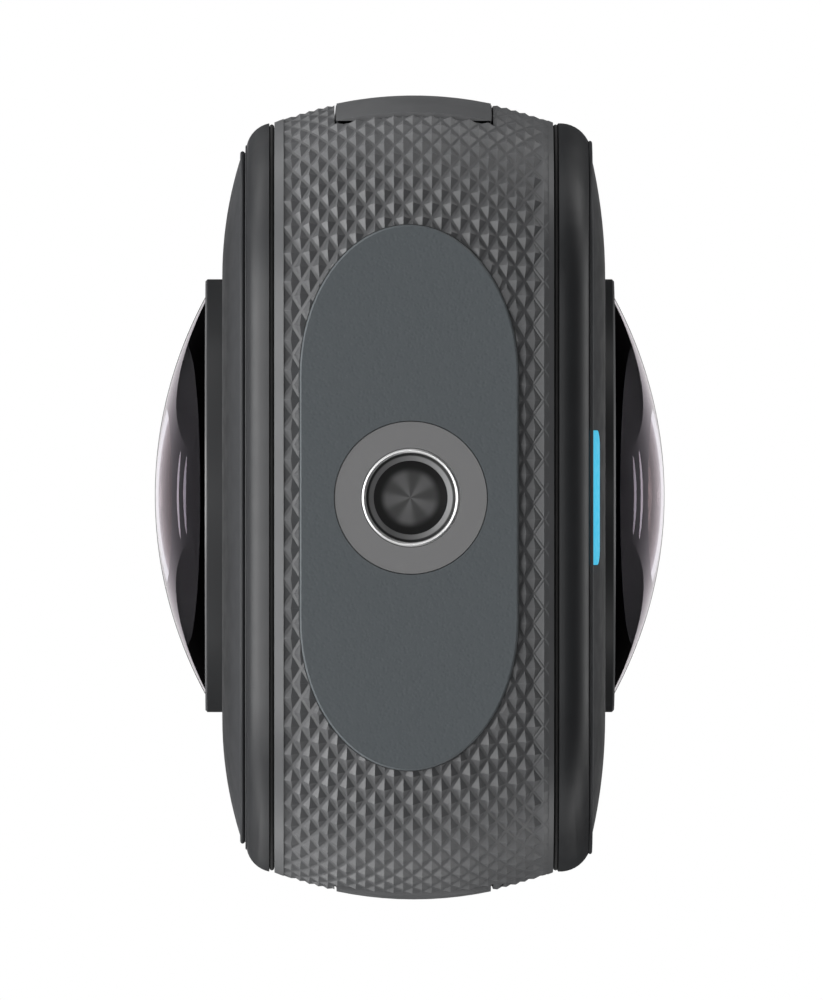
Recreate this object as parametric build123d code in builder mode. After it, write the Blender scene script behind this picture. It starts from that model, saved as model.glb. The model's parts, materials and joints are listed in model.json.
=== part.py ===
"""A pocket camera that films the whole sphere through two back-to-back fisheye lenses.

The body is a tall knurled middle frame closed by a front and a rear shell, each dressed with a
crowned cover plate. The frame's flat foot carries a screw socket for a stick or a tripod. The
battery leaves through the left side, and the charging port hides behind a hinged door on the right.
Lengths are in millimetres. X runs to the right as seen from the front, Y to the back and Z up.
The origin is the middle of the foot's resting face, where the socket opens.
"""

from build123d import *

import os
from math import sqrt

# Body outline, seen from the front
body_width = 46.2
body_height = 113.0
bottom_corner = 12.4
top_corner = 17.0

# Middle frame
band_depth = 16.0
crown_rise = 1.55
frame_wall = 3.0
skin_thickness = 0.45
skin_front_strip = 0.3
skin_rear_strip = 0.53
foot_lift = 0.2
foot_inner_rise = 1.5
boss_radius = 1.6
boss_sink = 1.4
boss_bite = 0.4
side_boss_drop = 15.6

# General gaps and small features
slip = 0.05
panel_gap = 0.12
cut_over = 1.0
edge_break = 0.25
corner_round = 1.0

# Base plate and screw socket
base_length = 31.2
base_width = 12.5
base_end_length = 8.6
base_thickness = 0.8
base_y = 0.3
socket_y = 0.2
socket_radius = 2.6
socket_depth = 6.0
socket_chamfer = 0.25
socket_disc_radius = 4.35
socket_recess = 0.1
socket_tip_height = 1.4
socket_cap = 0.9
socket_body_radius = 4.5
socket_flange_length = 15.8
socket_flange_width = 11.0
socket_flange_thickness = 1.8
socket_screw_x = 6.3
socket_screw_y = 3.9
socket_screw_depth = 2.0

# Shells
seam = 0.3
floor_setback = 0.1
floor_thickness = 1.2
rim_start_inset = 1.6
rear_rim_inset = 2.9
rim_reach = 1.7
rim_bulge = 0.26
lip_width = 0.75
lip_reach = 1.1
shell_screw_length = 4.0
seal_inset = 1.9
seal_width = 0.7

# Cover plates
cover_thickness = 1.4
front_cover_inset = 2.67
rear_cover_inset = 3.3
rear_cover_stand = 0.25
cover_gap = 0.1
cover_flat_inset = 10.4

# Lenses
lens_drop = 23.0
lens_ring_radius = 12.9
lens_ring_stand = 1.17
dome_radius = 11.85
dome_rise = 3.01
dome_skirt = 1.4
dome_hollow_radius = 8.0
dome_centre_thickness = 1.6
barrel_flange_height = 1.6
barrel_neck_radius = 8.6
barrel_foot = 19.0
barrel_foot_height = 1.8
barrel_bore_radius = 4.0
baffle_steps = 3
inner_lens_radius = 4.6
inner_lens_side = 1.1
inner_lens_rise = 2.6
inner_lens_seat = 8.0
dome_seal_wire = 0.27
dome_seal_groove_height = 0.6
dome_seal_groove_depth = 0.55
dome_seal_offset = 0.2
bracket_thickness = 1.6
bracket_side_gap = 3.1
bracket_corner = 1.5
bracket_below = 12.5
bracket_above = 13.0
bracket_window = 7.0
sensor_board_size = 20.0
sensor_board_thickness = 0.8
sensor_width = 11.0
sensor_height = 9.0
sensor_thickness = 1.0
sensor_clearance = 0.2
module_screw_offset = 8.0
lug_width = 5.2
lug_height = 4.0
lug_depth = 2.2
lug_low_drop = 9.0
lug_high_rise = 6.0
lug_screw_inset = 4.0

# Screws
screw_radius = 0.5
screw_head_radius = 1.1
screw_head_height = 0.6
screw_drive_radius = 0.55
screw_drive_depth = 0.35

# Screen
screen_drop = 33.0
touch_radius = 12.5
touch_sink = 0.1
display_radius = 11.0
display_thickness = 1.6
touch_gap = 0.1
display_gap = 0.2

# Shutter button, on the front
shutter_drop = 25.5
shutter_radius = 5.9
shutter_gap = 0.2
shutter_sink = 0.15
shutter_dish = 0.25
shutter_flange = 0.8
shutter_flange_thickness = 0.65
shutter_stem_radius = 1.4
shutter_stem_length = 0.55
shutter_seal_thickness = 0.3
shutter_seal_margin = 0.6
shutter_board_length = 21.0
shutter_post_radius = 1.0
shutter_post_inset = 0.2

# Switches behind the buttons
switch_gap = 0.45
switch_plunger_radius = 1.2
switch_plunger_height = 0.3
switch_size = 5.0
switch_height = 1.3
switch_board_thickness = 0.8
switch_board_length = 12.0
switch_board_width = 8.0

# Power button, on the right side
power_drop = 28.0
power_length = 8.0
power_width = 4.2
power_gap = 0.15
power_sink = 0.15
power_flange = 0.7
power_flange_thickness = 0.6
power_stem_radius = 1.2
power_stem_length = 0.3
power_board_thickness = 1.9

# Battery and its side door
door_width = 8.86
door_low = 6.8
door_drop = 18.0
door_thickness = 1.5
door_recess = 1.8
plug_low_margin = 6.4
plug_high_margin = 2.8
plug_width = 8.1
plug_depth = 1.4
plug_gap = 0.2
gasket_width = 0.4
gasket_thickness = 0.25
battery_width = 8.0
battery_drop = 0.8
battery_gap = 0.2
battery_corner = 1.2
bay_end_gap = 0.4
bay_wall = 0.8
bay_lift = 0.8
bay_flange_thickness = 0.8
bay_flange_width = 1.5
terminal_centre_drop = 5.0
terminal_height = 6.4
terminal_width = 5.0
terminal_block = 1.0
terminal_gap = 0.25
blade_count = 4
blade_pitch = 1.5
blade_thickness = 0.4
blade_width = 3.0
blade_length = 2.6
blade_gap = 0.2

# Battery latches
latch_travel = 1.5
latch_pocket_depth = 0.8
latch_slider_length = 5.6
latch_slider_width = 5.4
latch_slider_start = 1.4
latch_neck_length = 2.6
latch_neck_width = 2.4
latch_neck_start = 2.6
latch_tongue_length = 5.85
latch_tongue_width = 4.0
latch_tongue_thickness = 0.7
latch_tongue_start = 0.15
latch_gap = 0.1
latch_groove_count = 3
latch_groove_pitch = 1.1
latch_groove_width = 0.45
latch_groove_depth = 0.2
ledge_slot_reach = 0.2

# Board with the card socket and the charging port
port_height = 19.2
port_board_drop = 9.2
port_board_margin = 0.3
port_board_corner = 2.4
port_board_thickness = 0.8
port_rib_offset = 10.5
port_rib_width = 4.0
port_rib_depth = 2.57
port_rib_overlap = 2.5
port_screw_rise = 1.2
usb_width = 8.94
usb_thickness = 3.26
usb_depth = 7.05
usb_wall = 0.3
usb_tongue_width = 6.7
usb_tongue_thickness = 0.7
usb_tongue_length = 4.5
usb_mouth_gap = 0.25
card_length = 15.0
card_width = 11.0
card_thickness = 1.0
card_notch = 1.6
card_notch_length = 6.0
card_lip = 0.6
card_lip_height = 0.15
card_travel = 3.0
card_gap = 0.1
card_stop_gap = 0.2
card_grip = 1.0
card_socket_wall = 0.3
card_socket_floor = 0.1

# Charging-port door
usb_door_drop = 10.0
usb_door_rise = 9.2
hinge_depth = 1.2
hinge_pin_radius = 0.4
hinge_pin_gap = 0.04
hinge_pin_bite = 0.6
knuckle_radius = 1.1
knuckle_gap = 0.15
usb_door_back_gap = 0.15
usb_gasket_length = 8.6
usb_gasket_width = 3.1
usb_gasket_height = 0.9
usb_gasket_wall = 0.7
nail_notch_width = 4.0
nail_notch_height = 0.8
nail_notch_depth = 0.5

# Main board
board_overhang = 2.2
board_drop = 18.0
board_side_gap = 3.1
board_thickness = 0.8
board_post_height = 0.6
board_post_radius = 1.5
board_post_x = 11.0
board_post_inset = 5.5
board_screw_depth = 1.1
processor_size = 13.0
processor_thickness = 1.3
processor_inset = 3.0
chip_gap = 1.0
memory_width = 9.0
memory_thickness = 1.0
memory_side = 0.3
shield_size = 9.0
shield_thickness = 1.2
shield_wall = 0.2
spreader_half_width = 15.5
spreader_low_inset = 7.0
spreader_high_inset = 1.0

# Flat cables
flex_thickness = 0.2
flex_width = 6.0
sensor_flex_offset = 6.0
sensor_flex_bend = 0.6
sensor_flex_inset = 1.0
display_flex_offset = 5.0
display_flex_width = 4.0
display_flex_rise = 0.4

# Speaker, microphones and status light
speaker_length = 16.0
speaker_width = 10.6
speaker_gap = 0.4
speaker_thickness = 4.0
speaker_hole_count = 5
speaker_hole_pitch = 2.0
speaker_hole_radius = 0.6
mic_length = 3.0
mic_width = 2.0
mic_thickness = 1.0
mic_hole_radius = 0.5
mic_corner_gap = 0.1
mic_side_drop = 1.0
light_half_width = 3.85
light_top = 5.0
light_corner = 0.9
light_gap = 0.03
light_pipe_half_width = 3.0
light_pipe_height = 1.6
light_pipe_start = 3.2
light_pipe_gap = 0.1
light_pipe_inner = 0.15
led_half_width = 2.0
led_thickness = 0.35
led_gap = 0.1
light_board_half_width = 6.5
light_board_top = 8.5
light_board_thickness = 0.6
light_post_radius = 0.9
light_post_x = 5.0
light_post_drop = 1.5

# Levels measured from the middle plane towards the front or the back
band_half = band_depth / 2
shell_in = band_half + seam
floor_in = shell_in + floor_setback
floor_out = floor_in + floor_thickness
rim_out = shell_in + rim_reach
cover_face = floor_out + cover_thickness
ring_face = cover_face + lens_ring_stand
dome_tip = ring_face + dome_rise
dome_base = ring_face - dome_skirt
barrel_shoulder = dome_base - barrel_flange_height
board_in = bracket_thickness / 2
board_out = board_in + sensor_board_thickness

# Places worked out from the sizes above
half_width = body_width / 2
inner_half_width = half_width - frame_wall
crown_radius = (band_half**2 + crown_rise**2) / (2 * crown_rise)
foot_cut = crown_radius - sqrt(crown_radius**2 - (base_width / 2) ** 2)
outline_bottom = foot_lift - foot_cut
inner_bottom = outline_bottom + frame_wall
inner_top = body_height - frame_wall
pad_top = inner_bottom + foot_inner_rise
lens_height = body_height - lens_drop
screen_height = lens_height - screen_drop
shutter_height = screen_height - shutter_drop
power_height = lens_height - power_drop
side_boss_height = lens_height - side_boss_drop
mic_side_height = lens_height - mic_side_drop
mic_top_offset = half_width - top_corner - mic_width / 2 - mic_corner_gap
bracket_half_width = inner_half_width - bracket_side_gap
barrel_radius = dome_radius - slip
floor_hole_radius = barrel_radius + sensor_clearance
recess_floor = half_width - door_recess
door_half = door_width / 2
recess_half = door_half + panel_gap
panel_back = half_width - door_thickness
plug_face = panel_back - plug_depth
door_high = lens_height - door_drop
plug_low = door_low + plug_low_margin
plug_high = door_high - plug_high_margin
power_stem_end = inner_half_width - slip - power_flange_thickness - power_stem_length
power_switch_top = power_stem_end - switch_gap
power_board_face = power_switch_top - switch_plunger_height - switch_height
bay_outer_end = power_board_face - power_board_thickness
bay_inner_end = bay_outer_end - bay_wall
battery_end = bay_inner_end - bay_end_gap
port_board_low = port_height - port_board_drop
port_board_high = port_height + card_width / 2 + card_gap + card_socket_wall + port_board_margin
battery_low = port_board_high + bay_lift + bay_wall + battery_gap
battery_high = plug_high - battery_drop
bay_inner_half = battery_width / 2 + battery_gap
bay_outer_half = bay_inner_half + bay_wall
bay_bottom = battery_low - battery_gap - bay_wall
bay_top = battery_high + battery_gap + bay_wall
port_board_front = usb_thickness / 2
port_board_back = port_board_front + port_board_thickness
board_front = bay_outer_half + board_post_height
board_back = board_front + board_thickness
usb_door_low = port_height - usb_door_drop
usb_door_high = port_height + usb_door_rise
board_low = bay_bottom - board_overhang
board_high = lens_height - board_drop
board_half_width = inner_half_width - board_side_gap
processor_low = board_high - processor_inset - processor_size
speaker_height = board_low - speaker_gap - speaker_width / 2
shutter_stem_end = floor_out - slip - shutter_flange_thickness - shutter_stem_length
shutter_switch_top = shutter_stem_end - switch_gap
shutter_board_face = shutter_switch_top - switch_plunger_height - switch_height
shutter_post_x = shutter_board_length / 2 - shutter_post_radius - shutter_post_inset
hinge_x = half_width - hinge_depth
hinge_z = usb_door_low + knuckle_radius + knuckle_gap
card_outer_end = plug_face - card_travel - card_stop_gap
card_inner_end = card_outer_end - card_length
corner_sink = (bottom_corner - frame_wall - boss_sink) / sqrt(2)
top_sink = (top_corner - frame_wall - boss_sink) / sqrt(2)
boss_places = [
    (side * x, z)
    for side in (-1, 1)
    for x, z in (
        (half_width - bottom_corner + corner_sink, outline_bottom + bottom_corner - corner_sink),
        (inner_half_width - boss_radius + boss_bite, side_boss_height),
        (half_width - top_corner + top_sink, body_height - top_corner + top_sink),
    )
]
lug_places = [
    (side, z) for side in (-1, 1) for z in (lens_height - lug_low_drop, lens_height + lug_high_rise)
]
socket_screw_places = [(sx * socket_screw_x, sy * socket_screw_y) for sx in (-1, 1) for sy in (-1, 1)]
board_post_places = [
    (side * board_post_x, z)
    for side in (-1, 1)
    for z in (board_low + board_post_inset, board_high - board_post_inset)
]
module_screw_places = [
    (side * module_screw_offset, lens_height + side * module_screw_offset) for side in (-1, 1)
]

# Planes and axes shared by several pieces
section_plane = Plane(origin=(0, 0, outline_bottom), x_dir=(0, 0, 1), z_dir=(1, 0, 0))
lens_plane = Plane(origin=(0, 0, lens_height), x_dir=(1, 0, 0), z_dir=(0, 0, -1))
lens_axis = Axis((0, 0, lens_height), (0, -1, 0))


def front_plane(depth):
    """The upright plane at this depth in front of the middle, with Z as its second direction."""
    return Plane.XZ.offset(depth)


def side_plane(x):
    """The upright plane at this x, with Y and Z as its directions."""
    return Plane.YZ.offset(x)


def finish(piece, name):
    """Labels a finished piece and writes it."""
    piece.part.label = name
    export_step(piece.part, f"parts/{name}.step")


def finish_pair(piece, name):
    """Writes a front piece and its twin, mirrored to the back."""
    finish(piece, f"front_{name}")
    with BuildPart() as twin:
        mirror(piece.part, about=Plane.XZ)
    finish(twin, f"rear_{name}")


def block(x_range, y_range, z_range, mode=Mode.ADD):
    """Adds or cuts a box that runs between two values on each axis."""
    middle = [(low + high) / 2 for low, high in (x_range, y_range, z_range)]
    with Locations(tuple(middle)):
        Box(*(high - low for low, high in (x_range, y_range, z_range)), mode=mode)


def rod_along_y(x, z, radius, depth_from, depth_to, mode=Mode.ADD):
    """Adds or cuts a round rod along Y between two depths in front of the middle."""
    with Locations(Location((x, -(depth_from + depth_to) / 2, z), (90, 0, 0))):
        Cylinder(radius, abs(depth_to - depth_from), mode=mode)


def outline_loop(inset):
    """Draws the body's rounded outline, drawn in by inset, in the open line."""
    half = half_width - inset
    low, high = outline_bottom + inset, body_height - inset
    low_corner, high_corner = bottom_corner - inset, top_corner - inset
    bottom = Line((0, low), (half - low_corner, low))
    right_foot = JernArc(bottom @ 1, bottom % 1, low_corner, 90)
    right = Line(right_foot @ 1, (half, high - high_corner))
    right_top = JernArc(right @ 1, right % 1, high_corner, 90)
    top = Line(right_top @ 1, (high_corner - half, high))
    left_top = JernArc(top @ 1, top % 1, high_corner, 90)
    left = Line(left_top @ 1, (-half, low + low_corner))
    left_foot = JernArc(left @ 1, left % 1, low_corner, 90)
    Line(left_foot @ 1, (0, low))


def outline_face(inset):
    """Adds the face inside the body's outline, drawn in by inset, to the open sketch."""
    with BuildLine() as loop:
        outline_loop(inset)
    make_face(loop.edges())


def sweep_round(points, bulge=None, mode=Mode.ADD):
    """Adds or cuts a closed section of (inset, depth) points, swept round the body's outline.

    Where a bulge point is given, the section's first side is an arc through it.
    """
    with BuildSketch(Plane.XZ) as body:
        outline_face(0)
    with BuildSketch(section_plane) as section:
        with BuildLine():
            if bulge:
                ThreePointArc(points[0], bulge, points[1])
                Polyline(*points[1:], points[0])
            else:
                Polyline(*points, points[0])
        make_face()
    sweep(sections=section.sketch, path=body.sketch.face().outer_wire(), mode=mode)


def crown_inset(depth):
    """How far the crowned surface lies inside the body's outline at this depth."""
    return crown_radius - sqrt(crown_radius**2 - depth**2)


def sweep_crowned_band():
    """Sweeps the frame's wall, whose outer side is crowned from front to back."""
    sweep_round(
        [
            (crown_rise, -band_half),
            (crown_rise, band_half),
            (frame_wall, band_half),
            (frame_wall, -band_half),
        ],
        bulge=(0, 0),
    )


def cut_foot():
    """Cuts the flat foot across the open part."""
    cut_block((-half_width, half_width), (-band_half, band_half), (outline_bottom - cut_over, foot_lift))


def add_screw(seat, length):
    """Adds a screw whose head stands on the seat plane, with its shank going the other way."""
    with BuildSketch(seat) as head:
        Circle(screw_head_radius)
    extrude(head.sketch, amount=screw_head_height)
    with BuildSketch(seat) as shank:
        Circle(screw_radius)
    extrude(shank.sketch, amount=-length)
    with BuildSketch(seat.offset(screw_head_height)) as drive:
        RegularPolygon(screw_drive_radius, 6)
    extrude(drive.sketch, amount=-screw_drive_depth, mode=Mode.SUBTRACT)


def cut_sketch(sketch, amount):
    """Cuts a finished sketch out of the open part, to this depth."""
    extrude(sketch, amount=amount, mode=Mode.SUBTRACT)


def cut_block(x_range, y_range, z_range):
    """Cuts a box out of the open part."""
    block(x_range, y_range, z_range, mode=Mode.SUBTRACT)


def drill(x, z, radius, depth_from, depth_to):
    """Drills a round hole along Y between two depths in front of the middle."""
    rod_along_y(x, z, radius, depth_from, depth_to, mode=Mode.SUBTRACT)


def make_crowned_blank():
    """The filled body between the shells, which gives the side doors their outer faces."""
    with BuildPart() as blank:
        sweep_crowned_band()
        with BuildSketch(front_plane(-band_half)):
            outline_face(frame_wall)
        extrude(amount=band_depth)
        cut_foot()
    return blank.part


def sweep_skin_ring(mode=Mode.ADD):
    """Adds or cuts a ring that reaches from the skin's floor to outside the body."""
    depths = (skin_rear_strip - band_half, band_half - skin_front_strip)
    floor = [(crown_inset(depth) + skin_thickness, depth) for depth in depths]
    outside = [(-cut_over, depth) for depth in reversed(depths)]
    sweep_round(floor + outside, bulge=(skin_thickness, 0), mode=mode)


def make_grip_skin(blank):
    """The knurled sleeve round the frame, drawn smooth at the height of the knurl's tips."""
    with BuildPart() as skin:
        sweep_skin_ring()
        add(blank, mode=Mode.INTERSECT)
        cut_base_seat()
        cut_side_openings()
    return skin


def make_mid_frame():
    """The frame: a crowned ring with the skin's recess, bosses, lugs, ribs and every side opening."""
    wall_bite = frame_wall / 2
    with BuildPart() as frame:
        sweep_crowned_band()
        sweep_skin_ring(mode=Mode.SUBTRACT)
        for x, z in boss_places:
            rod_along_y(x, z, boss_radius, -floor_in, floor_in)
        for side, z in lug_places:
            reach = sorted((side * (inner_half_width - lug_width), side * (inner_half_width + wall_bite)))
            block(reach, (-board_in - lug_depth, -board_in), (z - lug_height / 2, z + lug_height / 2))
        for side in (-1, 1):
            middle = side * port_rib_offset
            reach = (middle - port_rib_width / 2, middle + port_rib_width / 2)
            block(
                reach,
                (port_board_back, port_board_back + port_rib_depth),
                (inner_bottom - wall_bite / 2, port_board_low + port_rib_overlap),
            )
        block(
            (-socket_flange_length / 2, socket_flange_length / 2),
            (-socket_flange_width / 2, socket_flange_width / 2),
            (inner_bottom - wall_bite / 2, pad_top),
        )
        cut_foot()
        cut_base_seat()
        cut_side_openings()
        for x, z in boss_places:
            for face in (-floor_in, floor_in):
                inward = -shell_screw_length if face > 0 else shell_screw_length
                drill(x, z, screw_radius + slip, face, face + inward)
        for side, z in lug_places:
            x = side * (inner_half_width - lug_screw_inset)
            drill(x, z, screw_radius + slip, board_in, board_in + lug_depth)
        for side in (-1, 1):
            x, z = side * port_rib_offset, port_board_low + port_screw_rise
            drill(x, z, screw_radius + slip, -port_board_back, -port_board_back - port_rib_depth)
    return frame


def cut_side_openings():
    """Cuts the battery's, the power button's, the charging port's and the microphones' openings."""
    cut_battery_mouth()
    cut_power_hole()
    cut_usb_recess()
    cut_sound_holes()


def base_face(gap):
    """Adds the base plate's face, grown by this gap, to the open sketch: a slot with half-oval ends."""
    middle = base_length / 2 - base_end_length
    end, half = base_end_length + gap, base_width / 2 + gap
    with BuildLine() as loop:
        right = EllipticalCenterArc((middle, base_y), end, half, -90, arc_size=180)
        left = EllipticalCenterArc((-middle, base_y), end, half, 90, arc_size=180)
        Line(right @ 1, left @ 0)
        Line(left @ 1, right @ 0)
    make_face(loop.edges())


def cut_base_seat():
    """Cuts the base plate's pocket, the socket's hole and its screw holes in the frame's foot."""
    with BuildSketch(Plane.XY.offset(-base_thickness)) as seat:
        base_face(slip)
    cut_sketch(seat.sketch, 2 * base_thickness)
    with BuildSketch(Plane.XY) as disc:
        with Locations((0, socket_y)):
            Circle(socket_disc_radius + slip)
    cut_sketch(disc.sketch, pad_top)
    with BuildSketch(Plane.XY.offset(pad_top)) as holes:
        with Locations(*socket_screw_places):
            Circle(screw_radius + slip)
    cut_sketch(holes.sketch, -socket_screw_depth)


def cut_battery_mouth():
    """Cuts the battery door's recess, the mouth behind it and the two slots for the latch tongues."""
    cut_block(
        (-half_width - cut_over, -recess_floor),
        (-recess_half, recess_half),
        (door_low - panel_gap, door_high + panel_gap),
    )
    mouth_half = plug_width / 2 + plug_gap
    mouth_low, mouth_high = plug_low - plug_gap, plug_high + plug_gap
    cut_block(
        (-recess_floor - cut_over, -inner_half_width + cut_over),
        (-mouth_half, mouth_half),
        (mouth_low, mouth_high),
    )
    slot_half = latch_tongue_width / 2 + latch_gap
    slot_length = latch_travel + ledge_slot_reach
    tongue_out = plug_face + slip + latch_tongue_thickness + latch_gap
    for low, high in ((mouth_low - slot_length, mouth_low), (mouth_high, mouth_high + slot_length)):
        cut_block((-tongue_out, -inner_half_width + cut_over), (-slot_half, slot_half), (low, high))


def cut_power_hole():
    """Cuts the power button's hole through the right wall."""
    with BuildSketch(side_plane(inner_half_width - cut_over)) as hole:
        with Locations((0, power_height)):
            SlotOverall(power_length + 2 * power_gap, power_width + 2 * power_gap, rotation=90)
    cut_sketch(hole.sketch, frame_wall + 2 * cut_over)


def cut_usb_recess():
    """Cuts the charging port's mouth, the recess for its door and the door's hinge groove."""
    cut_block(
        (recess_floor, half_width + cut_over),
        (-recess_half, recess_half),
        (hinge_z, usb_door_high + panel_gap),
    )
    with Locations(Location((hinge_x, 0, hinge_z), (90, 0, 0))):
        Cylinder(knuckle_radius + knuckle_gap, 2 * recess_half, mode=Mode.SUBTRACT)
    cut_block((hinge_x, half_width + cut_over), (-recess_half, recess_half), (usb_door_low, hinge_z))
    with Locations(Location((hinge_x, 0, hinge_z), (90, 0, 0))):
        Cylinder(hinge_pin_radius, 2 * (recess_half + hinge_pin_bite), mode=Mode.SUBTRACT)
    with BuildSketch(side_plane(inner_half_width - cut_over)) as mouth:
        with Locations((0, port_height)):
            SlotOverall(usb_width + 2 * usb_mouth_gap, usb_thickness + 2 * usb_mouth_gap, rotation=90)
    cut_sketch(mouth.sketch, frame_wall + 2 * cut_over)


def cut_sound_holes():
    """Cuts the four microphone holes through the frame's top and sides."""
    with BuildSketch(Plane.XY.offset(inner_top - cut_over)) as top_holes:
        with Locations((-mic_top_offset, 0), (mic_top_offset, 0)):
            Circle(mic_hole_radius)
    cut_sketch(top_holes.sketch, frame_wall + 2 * cut_over)
    for side in (-1, 1):
        with BuildSketch(side_plane(side * (inner_half_width - cut_over))) as side_hole:
            with Locations((0, mic_side_height)):
                Circle(mic_hole_radius)
        cut_sketch(side_hole.sketch, side * (frame_wall + 2 * cut_over))


def make_base_plate():
    """The smooth plate on the foot, on which the camera stands."""
    with BuildPart() as plate:
        with BuildSketch():
            base_face(0)
            with Locations((0, socket_y)):
                Circle(socket_disc_radius + slip, mode=Mode.SUBTRACT)
        extrude(amount=base_thickness)
        rim = plate.edges().group_by(Axis.Z)[0].sort_by(SortBy.LENGTH)[:-1]
        chamfer(rim, foot_lift / 2)
    return plate


def make_tripod_socket():
    """The metal screw socket: a disc in the foot, a flange on the frame's pad and a blind hole."""
    bore_top = socket_recess + socket_depth
    with BuildPart() as socket:
        with BuildSketch(Plane.XY.offset(socket_recess)):
            with Locations((0, socket_y)):
                Circle(socket_disc_radius)
        extrude(amount=pad_top - socket_recess)
        with BuildSketch(Plane.XY.offset(pad_top)):
            RectangleRounded(socket_flange_length, socket_flange_width, corner_round)
        extrude(amount=socket_flange_thickness)
        with BuildSketch(Plane.XY.offset(pad_top)):
            with Locations((0, socket_y)):
                Circle(socket_body_radius)
        extrude(amount=bore_top + socket_tip_height + socket_cap - pad_top)
        with BuildSketch(Plane.XZ.offset(-socket_y)):
            with BuildLine():
                Polyline(
                    (0, socket_recess - cut_over),
                    (socket_radius + socket_chamfer, socket_recess - cut_over),
                    (socket_radius + socket_chamfer, socket_recess),
                    (socket_radius, socket_recess + socket_chamfer),
                    (socket_radius, bore_top),
                    (0, bore_top + socket_tip_height),
                    close=True,
                )
            make_face()
        revolve(axis=Axis((0, socket_y, 0), (0, 0, 1)), mode=Mode.SUBTRACT)
        with BuildSketch(Plane.XY.offset(pad_top)):
            with Locations(*socket_screw_places):
                Circle(screw_radius + slip)
        extrude(amount=socket_flange_thickness, mode=Mode.SUBTRACT)
    return socket


def make_socket_screws():
    """The four screws that hold the socket's flange on the frame."""
    with BuildPart() as screws:
        for x, y in socket_screw_places:
            seat = Plane(origin=(x, y, pad_top + socket_flange_thickness), z_dir=(0, 0, 1))
            add_screw(seat, socket_flange_thickness + socket_screw_depth - slip)
    return screws


def make_shell(rim_end):
    """A shell before its own openings: a rim, a floor, a locating lip and screw seats.

    The rim bulges out to its end, the first of the points given, and goes on over the others.
    """
    lip_out = frame_wall + slip
    end_inset, end_depth = rim_end[0]
    middle_inset = (rim_start_inset + end_inset) / 2
    middle = (shell_in + end_depth) / 2
    with BuildPart() as shell:
        sweep_round(
            [
                (rim_start_inset, shell_in),
                *rim_end,
                (lip_out + lip_width, floor_out),
                (lip_out + lip_width, floor_in - lip_reach),
                (lip_out, floor_in - lip_reach),
                (lip_out, shell_in),
            ],
            bulge=(middle_inset - rim_bulge, middle + rim_bulge / 2),
        )
        with BuildSketch(front_plane(floor_in)):
            outline_face(lip_out + lip_width / 2)
        extrude(amount=floor_thickness)
        with BuildSketch(front_plane(floor_in)):
            with Locations((0, lens_height)):
                Circle(floor_hole_radius)
        extrude(amount=floor_thickness, mode=Mode.SUBTRACT)
        for x, z in boss_places:
            drill(x, z, boss_radius + 2 * slip, floor_in - lip_reach, floor_in)
            drill(x, z, screw_radius + slip, floor_in, floor_out)
            drill(x, z, screw_head_radius + slip, floor_out - screw_head_height - slip, floor_out)
    return shell


def make_front_shell():
    """The front shell, with openings for the screen, the shutter and the light, and posts for two boards."""
    end_inset = front_cover_inset - cover_gap
    plain = make_shell([(end_inset, rim_out), (end_inset, floor_out)])
    with BuildPart() as shell:
        add(plain.part)
        drill(0, screen_height, display_radius + display_gap, floor_in, floor_out)
        flange_hole = shutter_radius + shutter_flange + shutter_gap
        drill(0, shutter_height, flange_hole, floor_in, floor_out)
        cut_block(
            (-light_pipe_half_width - light_pipe_gap, light_pipe_half_width + light_pipe_gap),
            (-floor_out, -floor_in),
            (light_pipe_start - light_pipe_gap, light_pipe_start + light_pipe_height + light_pipe_gap),
        )
        for side in (-1, 1):
            rod_along_y(
                side * light_post_x, light_board_top - light_post_drop, light_post_radius,
                floor_in - led_gap - light_pipe_inner - led_thickness, floor_in,
            )
            rod_along_y(
                side * shutter_post_x, shutter_height, shutter_post_radius, shutter_board_face, floor_in
            )
    return shell


def make_rear_shell():
    """The rear shell: a rounder rim that ends at the floor, turned to the back, with the speaker's holes."""
    front = make_shell([(rear_rim_inset, floor_out)])
    with BuildPart() as shell:
        mirror(front.part, about=Plane.XZ)
        cut_speaker_holes(-floor_out, -floor_in)
    return shell


def cut_speaker_holes(depth_from, depth_to):
    """Cuts the row of speaker holes between two depths."""
    with BuildSketch(front_plane(depth_from)) as holes:
        with Locations((0, speaker_height)):
            with GridLocations(speaker_hole_pitch, 0, speaker_hole_count, 1):
                Circle(speaker_hole_radius)
    cut_sketch(holes.sketch, depth_to - depth_from)


def make_cover(cover_inset, edge):
    """A cover plate before its own openings: flat in the middle, falling to its edge's inset and depth."""
    edge_run, edge_drop = cover_flat_inset - cover_inset, cover_face - edge
    edge_radius = (edge_run**2 + edge_drop**2) / (2 * edge_drop)
    mid_run = edge_run / 2
    mid_drop = edge_radius - sqrt(edge_radius**2 - mid_run**2)
    with BuildPart() as cover:
        sweep_round(
            [
                (cover_inset, edge),
                (cover_flat_inset, cover_face),
                (cover_flat_inset, floor_out),
                (cover_inset, floor_out),
            ],
            bulge=(cover_inset + mid_run, cover_face - mid_drop),
        )
        with BuildSketch(front_plane(floor_out)):
            outline_face(cover_flat_inset)
        extrude(amount=cover_thickness)
        drill(0, lens_height, lens_ring_radius + touch_gap, floor_out, cover_face)
    return cover


def light_window(gap):
    """Returns the status light's window, which opens at the cover's lower edge, grown by gap."""
    low = outline_bottom + front_cover_inset - cut_over
    half = light_half_width + gap
    with BuildSketch(front_plane(floor_out)) as window:
        with BuildLine():
            Polyline((-half, light_top + gap), (-half, low), (half, low), (half, light_top + gap), close=True)
        make_face()
        fillet(window.vertices().group_by(Axis.Y)[-1], light_corner)
    return window.sketch


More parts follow.
